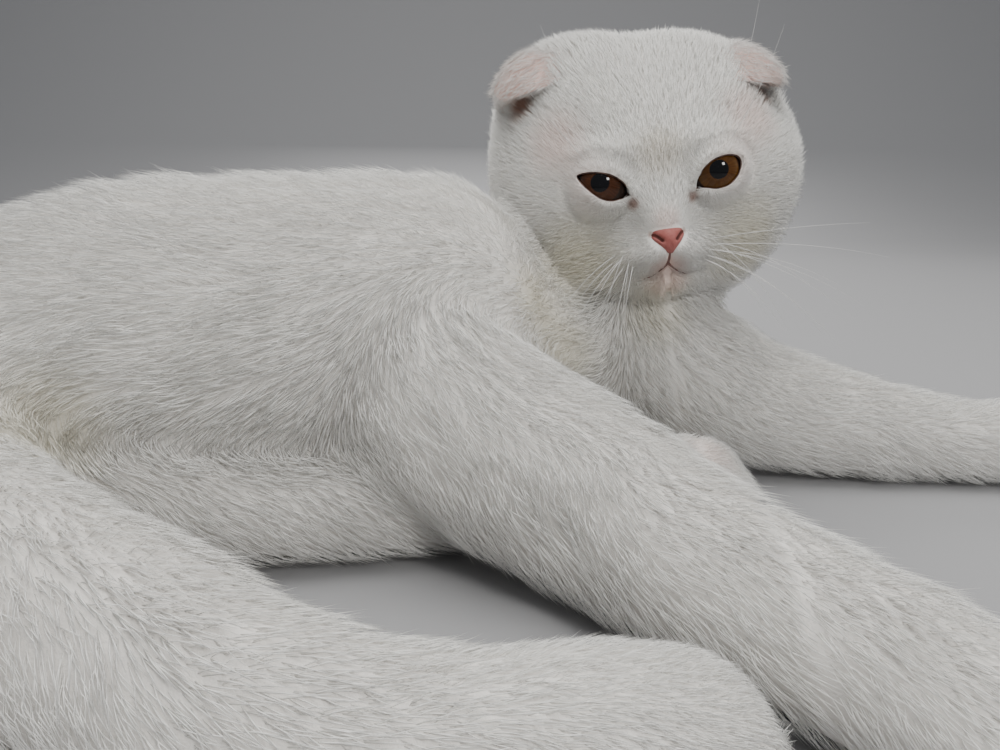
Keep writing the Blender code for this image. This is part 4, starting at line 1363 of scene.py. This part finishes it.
# colour, place across and up the face in cm, radius, strength, on both sides
FACE_TINTS = (
    (PINK, 3.4, 1.3, 1.7, 0.36, True),
    (PINK, 2.6, -0.2, 1.5, 0.2, True),
    (PINK, 0.0, -4.1, 1.2, 0.6, False),
    (PINK, 0.0, -3.2, 0.9, 0.6, False),
    (PINK, 0.0, -1.75, 0.8, 0.3, False),
    # painted shade low on the cheeks, towards the jaw
    (CREAM_SHADE, 3.0, -2.9, 2.3, 0.5, True),
    # painted shade between the brows
    (BROW_SHADE, 0.0, 0.5, 1.3, 0.3, False),
    (TEAR, 1.0, -1.12, 0.34, 0.85, True),
    (TEAR, 0.57, -2.2, 0.17, 0.65, True),
)
# colour, place in the cat's frame in cm, radius, strength
BODY_TINTS = (
    # painted shade: the folds under the jaw and chin, the chest, and the crease between belly and thigh
    (CREAM_SHADE, (9.6, -3.0, 8.0), 2.0, 0.42),
    (CREAM_SHADE, (10.6, -2.4, 5.8), 2.4, 0.4),
    (CREAM_SHADE, (13.9, -0.9, 7.1), 2.0, 0.4),
    (CREAM_SHADE, (-4.9, -8.4, 5.0), 2.6, 0.4),
    (PINK, (15.2, -4.2, 2.9), 1.5, 0.25),
)


def tints():
    """Every tint as colour, place in metres in the cat's frame, radius and strength."""
    rows = []
    for colour, across, up, radius, strength, paired in FACE_TINTS:
        for side in (1.0, -1.0) if paired else (1.0,):
            spot = to_cat(face_point(side * across, up)) * CM
            rows.append((colour, tuple(spot), radius * CM, strength))
    for hollow in EAR_HOLLOWS:
        # painted shade in each ear opening
        rows.append((EAR_OPENING_SHADE, tuple(to_cat(hollow) * CM), 0.0085, 0.9))
    for colour, place, radius, strength in BODY_TINTS:
        rows.append((colour, tuple(np.array(place) * CM), radius * CM, strength))
    return rows


def node(tree, kind, **settings):
    made = tree.nodes.new(kind)
    for name, value in settings.items():
        setattr(made, name, value)
    return made


def mix(tree, factor, first, second):
    """A colour mix. Each input is a socket or a constant."""
    made = node(tree, "ShaderNodeMix", data_type="RGBA")
    for socket, value in ((made.inputs[0], factor), (made.inputs[6], first), (made.inputs[7], second)):
        if isinstance(value, bpy.types.NodeSocket):
            tree.links.new(value, socket)
        elif isinstance(value, tuple):
            socket.default_value = (*value, 1.0)[:4]
        else:
            socket.default_value = value
    return made.outputs[2]


def scaled(tree, socket, low, high, to_low, to_high, smooth=False):
    """A value moved from one range to another, and held there."""
    made = node(tree, "ShaderNodeMapRange")
    made.interpolation_type = "SMOOTHSTEP" if smooth else "LINEAR"
    tree.links.new(socket, made.inputs["Value"])
    for name, value in (("From Min", low), ("From Max", high), ("To Min", to_low), ("To Max", to_high)):
        made.inputs[name].default_value = value
    return made.outputs["Result"]


def noise(tree, vector, scale, detail=3.0):
    made = node(tree, "ShaderNodeTexNoise")
    made.inputs["Scale"].default_value = scale
    made.inputs["Detail"].default_value = detail
    tree.links.new(vector, made.inputs["Vector"])
    return made.outputs["Fac"]


def marked(tree, base):
    """The base colour with every tint laid over it, from Object coordinates."""
    place = node(tree, "ShaderNodeTexCoord").outputs["Object"]
    cloud = scaled(tree, noise(tree, place, 45.0), 0.3, 0.7, 0.0, 1.0)
    colour = mix(tree, cloud, tuple(v * 0.965 for v in base), base)
    for tint, spot, radius, strength in tints():
        gap = node(tree, "ShaderNodeVectorMath", operation="DISTANCE")
        tree.links.new(place, gap.inputs[0])
        gap.inputs[1].default_value = spot
        share = scaled(tree, gap.outputs["Value"], radius * 0.15, radius, strength, 0.0, True)
        colour = mix(tree, share, colour, tint)
    return colour, place


def finish_material(name, roughness, specular=0.3):
    material = bpy.data.materials.new(name)
    material.use_nodes = True
    tree = material.node_tree
    shader = tree.nodes["Principled BSDF"]
    shader.inputs["Roughness"].default_value = roughness
    shader.inputs["Specular IOR Level"].default_value = specular
    return material, tree, shader


def add_bump(tree, shader, height, strength, distance):
    bump = node(tree, "ShaderNodeBump")
    bump.inputs["Strength"].default_value = strength
    bump.inputs["Distance"].default_value = distance
    tree.links.new(height, bump.inputs["Height"])
    tree.links.new(bump.outputs["Normal"], shader.inputs["Normal"])


# %% Coat and skin materials
def fur_material(name, base, root_shade):
    material, tree, shader = finish_material(name, 0.62, 0.25)
    colour, _ = marked(tree, base)
    along = node(tree, "ShaderNodeAttribute", attribute_name="along").outputs["Fac"]
    tone = node(tree, "ShaderNodeAttribute", attribute_name="shade").outputs["Fac"]
    # the tufts get darker and warmer towards the root: painted shade deep in the coat
    deep = mix(tree, scaled(tree, along, 0.0, 0.6, 1.0, 0.0), colour, root_shade)
    deep = mix(tree, scaled(tree, along, 0.0, 0.7, 0.35, 0.0), colour, deep)
    varied = mix(tree, scaled(tree, tone, 0.0, 1.0, 0.0, 0.08), deep, (0.68, 0.66, 0.61))
    tree.links.new(varied, shader.inputs["Base Color"])
    shader.inputs["Sheen Weight"].default_value = 0.15
    shader.inputs["Sheen Roughness"].default_value = 0.5
    return material


def skin_material(name, base):
    material, tree, shader = finish_material(name, 0.7, 0.25)
    colour, place = marked(tree, base)
    tree.links.new(colour, shader.inputs["Base Color"])
    add_bump(tree, shader, noise(tree, place, 1400.0, 4.0), 0.5, 0.0006)
    return material


# the second colour is the root's: painted shade deep in the coat
fur = fur_material("white fur", WHITE, (0.90, 0.87, 0.82))
# pinker roots: partly the pink of the ear skin and partly painted shade deep in the coat
ear_fur = fur_material("ear fur", (0.94, 0.91, 0.885), (0.88, 0.76, 0.71))
skin.data.materials.clear()
skin.data.materials.append(skin_material("skin under fur", (0.91, 0.88, 0.84)))
for piece in coat:
    piece.data.materials.append(fur)
for piece in ear_coats:
    piece.data.materials.append(ear_fur)


def ear_material():
    material, tree, shader = finish_material("ear skin", 0.55, 0.3)
    place = node(tree, "ShaderNodeTexCoord").outputs["Object"]
    blush = scaled(tree, noise(tree, place, 160.0), 0.35, 0.7, 0.0, 1.0)
    colour = mix(tree, blush, (0.74, 0.50, 0.44), (0.82, 0.64, 0.58))
    tree.links.new(colour, shader.inputs["Base Color"])
    add_bump(tree, shader, noise(tree, place, 1800.0, 3.0), 0.3, 0.0004)
    return material


ear_skin = ear_material()
for ear, _ in ears:
    ear.data.materials.append(ear_skin)


# %% Nose and lid materials
def nose_material():
    material, tree, shader = finish_material("nose leather", 0.5, 0.25)
    place = node(tree, "ShaderNodeTexCoord").outputs["Object"]
    deep = node(tree, "ShaderNodeAttribute", attribute_name="hollow").outputs["Fac"]
    mottle = scaled(tree, noise(tree, place, 420.0), 0.3, 0.7, 0.0, 1.0)
    colour = mix(tree, mottle, (0.34, 0.10, 0.088), (0.42, 0.145, 0.13))
    # the nostrils are darkened by how deep they are pressed: painted shade in the openings
    colour = mix(tree, scaled(tree, deep, 0.2, 0.65, 0.0, 0.95, True), colour, (0.10, 0.025, 0.02))
    tree.links.new(colour, shader.inputs["Base Color"])
    pebbles = node(tree, "ShaderNodeTexVoronoi")
    pebbles.inputs["Scale"].default_value = 2600.0
    tree.links.new(place, pebbles.inputs["Vector"])
    add_bump(tree, shader, pebbles.outputs["Distance"], 0.35, 0.00025)
    return material


def wet_material(name, first, second, roughness):
    material, tree, shader = finish_material(name, roughness, 0.5)
    place = node(tree, "ShaderNodeTexCoord").outputs["Object"]
    mottle = scaled(tree, noise(tree, place, 700.0), 0.35, 0.65, 0.0, 1.0)
    tree.links.new(mix(tree, mottle, first, second), shader.inputs["Base Color"])
    add_bump(tree, shader, noise(tree, place, 2500.0, 3.0), 0.25, 0.0003)
    return material


nose.data.materials.append(nose_material())
# dark lip colour: partly the lips' own colour, partly painted shade in the parting and the groove
lips.data.materials.append(wet_material("lips", (0.17, 0.085, 0.07), (0.27, 0.14, 0.12), 0.5))
rim_finish = wet_material("lid rim", (0.05, 0.027, 0.022), (0.17, 0.10, 0.08), 0.35)
for rim in lid_rims:
    rim.data.materials.append(rim_finish)


# %% Eye materials
def eye_material(eye, amber, edge):
    material, tree, shader = finish_material(eye["name"] + " glass", 0.5, 0.0)
    gaze = Vector(HEAD_TURN @ unit(np.array(eye["gaze"])))
    middle = Vector(to_cat(eye_middle(eye)) * CM)
    turn = gaze.to_track_quat("Z", "Y").to_matrix()
    place = node(tree, "ShaderNodeTexCoord").outputs["Object"]
    frame_node = node(tree, "ShaderNodeMapping", vector_type="TEXTURE")
    frame_node.inputs["Location"].default_value = middle
    frame_node.inputs["Rotation"].default_value = turn.to_euler()
    tree.links.new(place, frame_node.inputs["Vector"])
    direction = node(tree, "ShaderNodeVectorMath", operation="NORMALIZE")
    tree.links.new(frame_node.outputs["Vector"], direction.inputs[0])
    split = node(tree, "ShaderNodeSeparateXYZ")
    tree.links.new(direction.outputs["Vector"], split.inputs[0])
    angle = node(tree, "ShaderNodeMath", operation="ARCCOSINE")
    tree.links.new(split.outputs["Z"], angle.inputs[0])
    share = scaled(tree, angle.outputs["Value"], 0.0, IRIS_ANGLE, 0.0, 1.0)
    flat = node(tree, "ShaderNodeCombineXYZ")
    tree.links.new(split.outputs["X"], flat.inputs[0])
    tree.links.new(split.outputs["Y"], flat.inputs[1])
    spoke = node(tree, "ShaderNodeVectorMath", operation="NORMALIZE")
    tree.links.new(flat.outputs["Vector"], spoke.inputs[0])
    fibres = scaled(tree, noise(tree, spoke.outputs["Vector"], 11.0, 5.0), 0.32, 0.68, 0.0, 1.0)
    blotch = scaled(tree, noise(tree, direction.outputs["Vector"], 9.0, 3.0), 0.4, 0.65, 0.0, 1.0)
    inner = mix(tree, fibres, tuple(v * 0.62 for v in amber), amber)
    inner = mix(tree, scaled(tree, blotch, 0.0, 1.0, 0.0, 0.4), inner, tuple(v * 0.5 for v in amber))
    outer = mix(tree, fibres, tuple(v * 0.6 for v in edge), edge)
    iris = mix(tree, scaled(tree, share, 0.55, 0.95, 0.0, 1.0, True), inner, outer)
    ringed = mix(tree, scaled(tree, share, 0.9, 1.0, 0.0, 1.0, True), iris, (0.02, 0.011, 0.008))
    pupil = scaled(tree, share, PUPIL_SHARE - 0.025, PUPIL_SHARE + 0.02, 0.0, 1.0, True)
    colour = mix(tree, pupil, (0.003, 0.003, 0.004), ringed)
    tree.links.new(colour, shader.inputs["Base Color"])
    shader.inputs["Coat Weight"].default_value = 1.0
    shader.inputs["Coat IOR"].default_value = 1.376
    shader.inputs["Coat Roughness"].default_value = 0.015
    return material


# the right eye's iris is darker than the left: painted shade
AMBERS_RIGHT_SHADED = (((0.105, 0.04, 0.007), (0.13, 0.055, 0.01)), ((0.07, 0.022, 0.006), (0.055, 0.017, 0.005)))
for eye, ball, (amber, edge) in zip(EYES, eyeballs, AMBERS_RIGHT_SHADED):
    ball.data.materials.append(eye_material(eye, amber, edge))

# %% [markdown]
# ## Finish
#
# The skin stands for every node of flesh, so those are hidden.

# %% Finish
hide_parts(*FLESH)
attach(skin, "root")
bpy.context.view_layer.update()
shown = [o for o in scene.objects if o.type == "MESH" and not o.hide_render]
print("triangles:", sum(len(o.data.polygons) for o in shown))
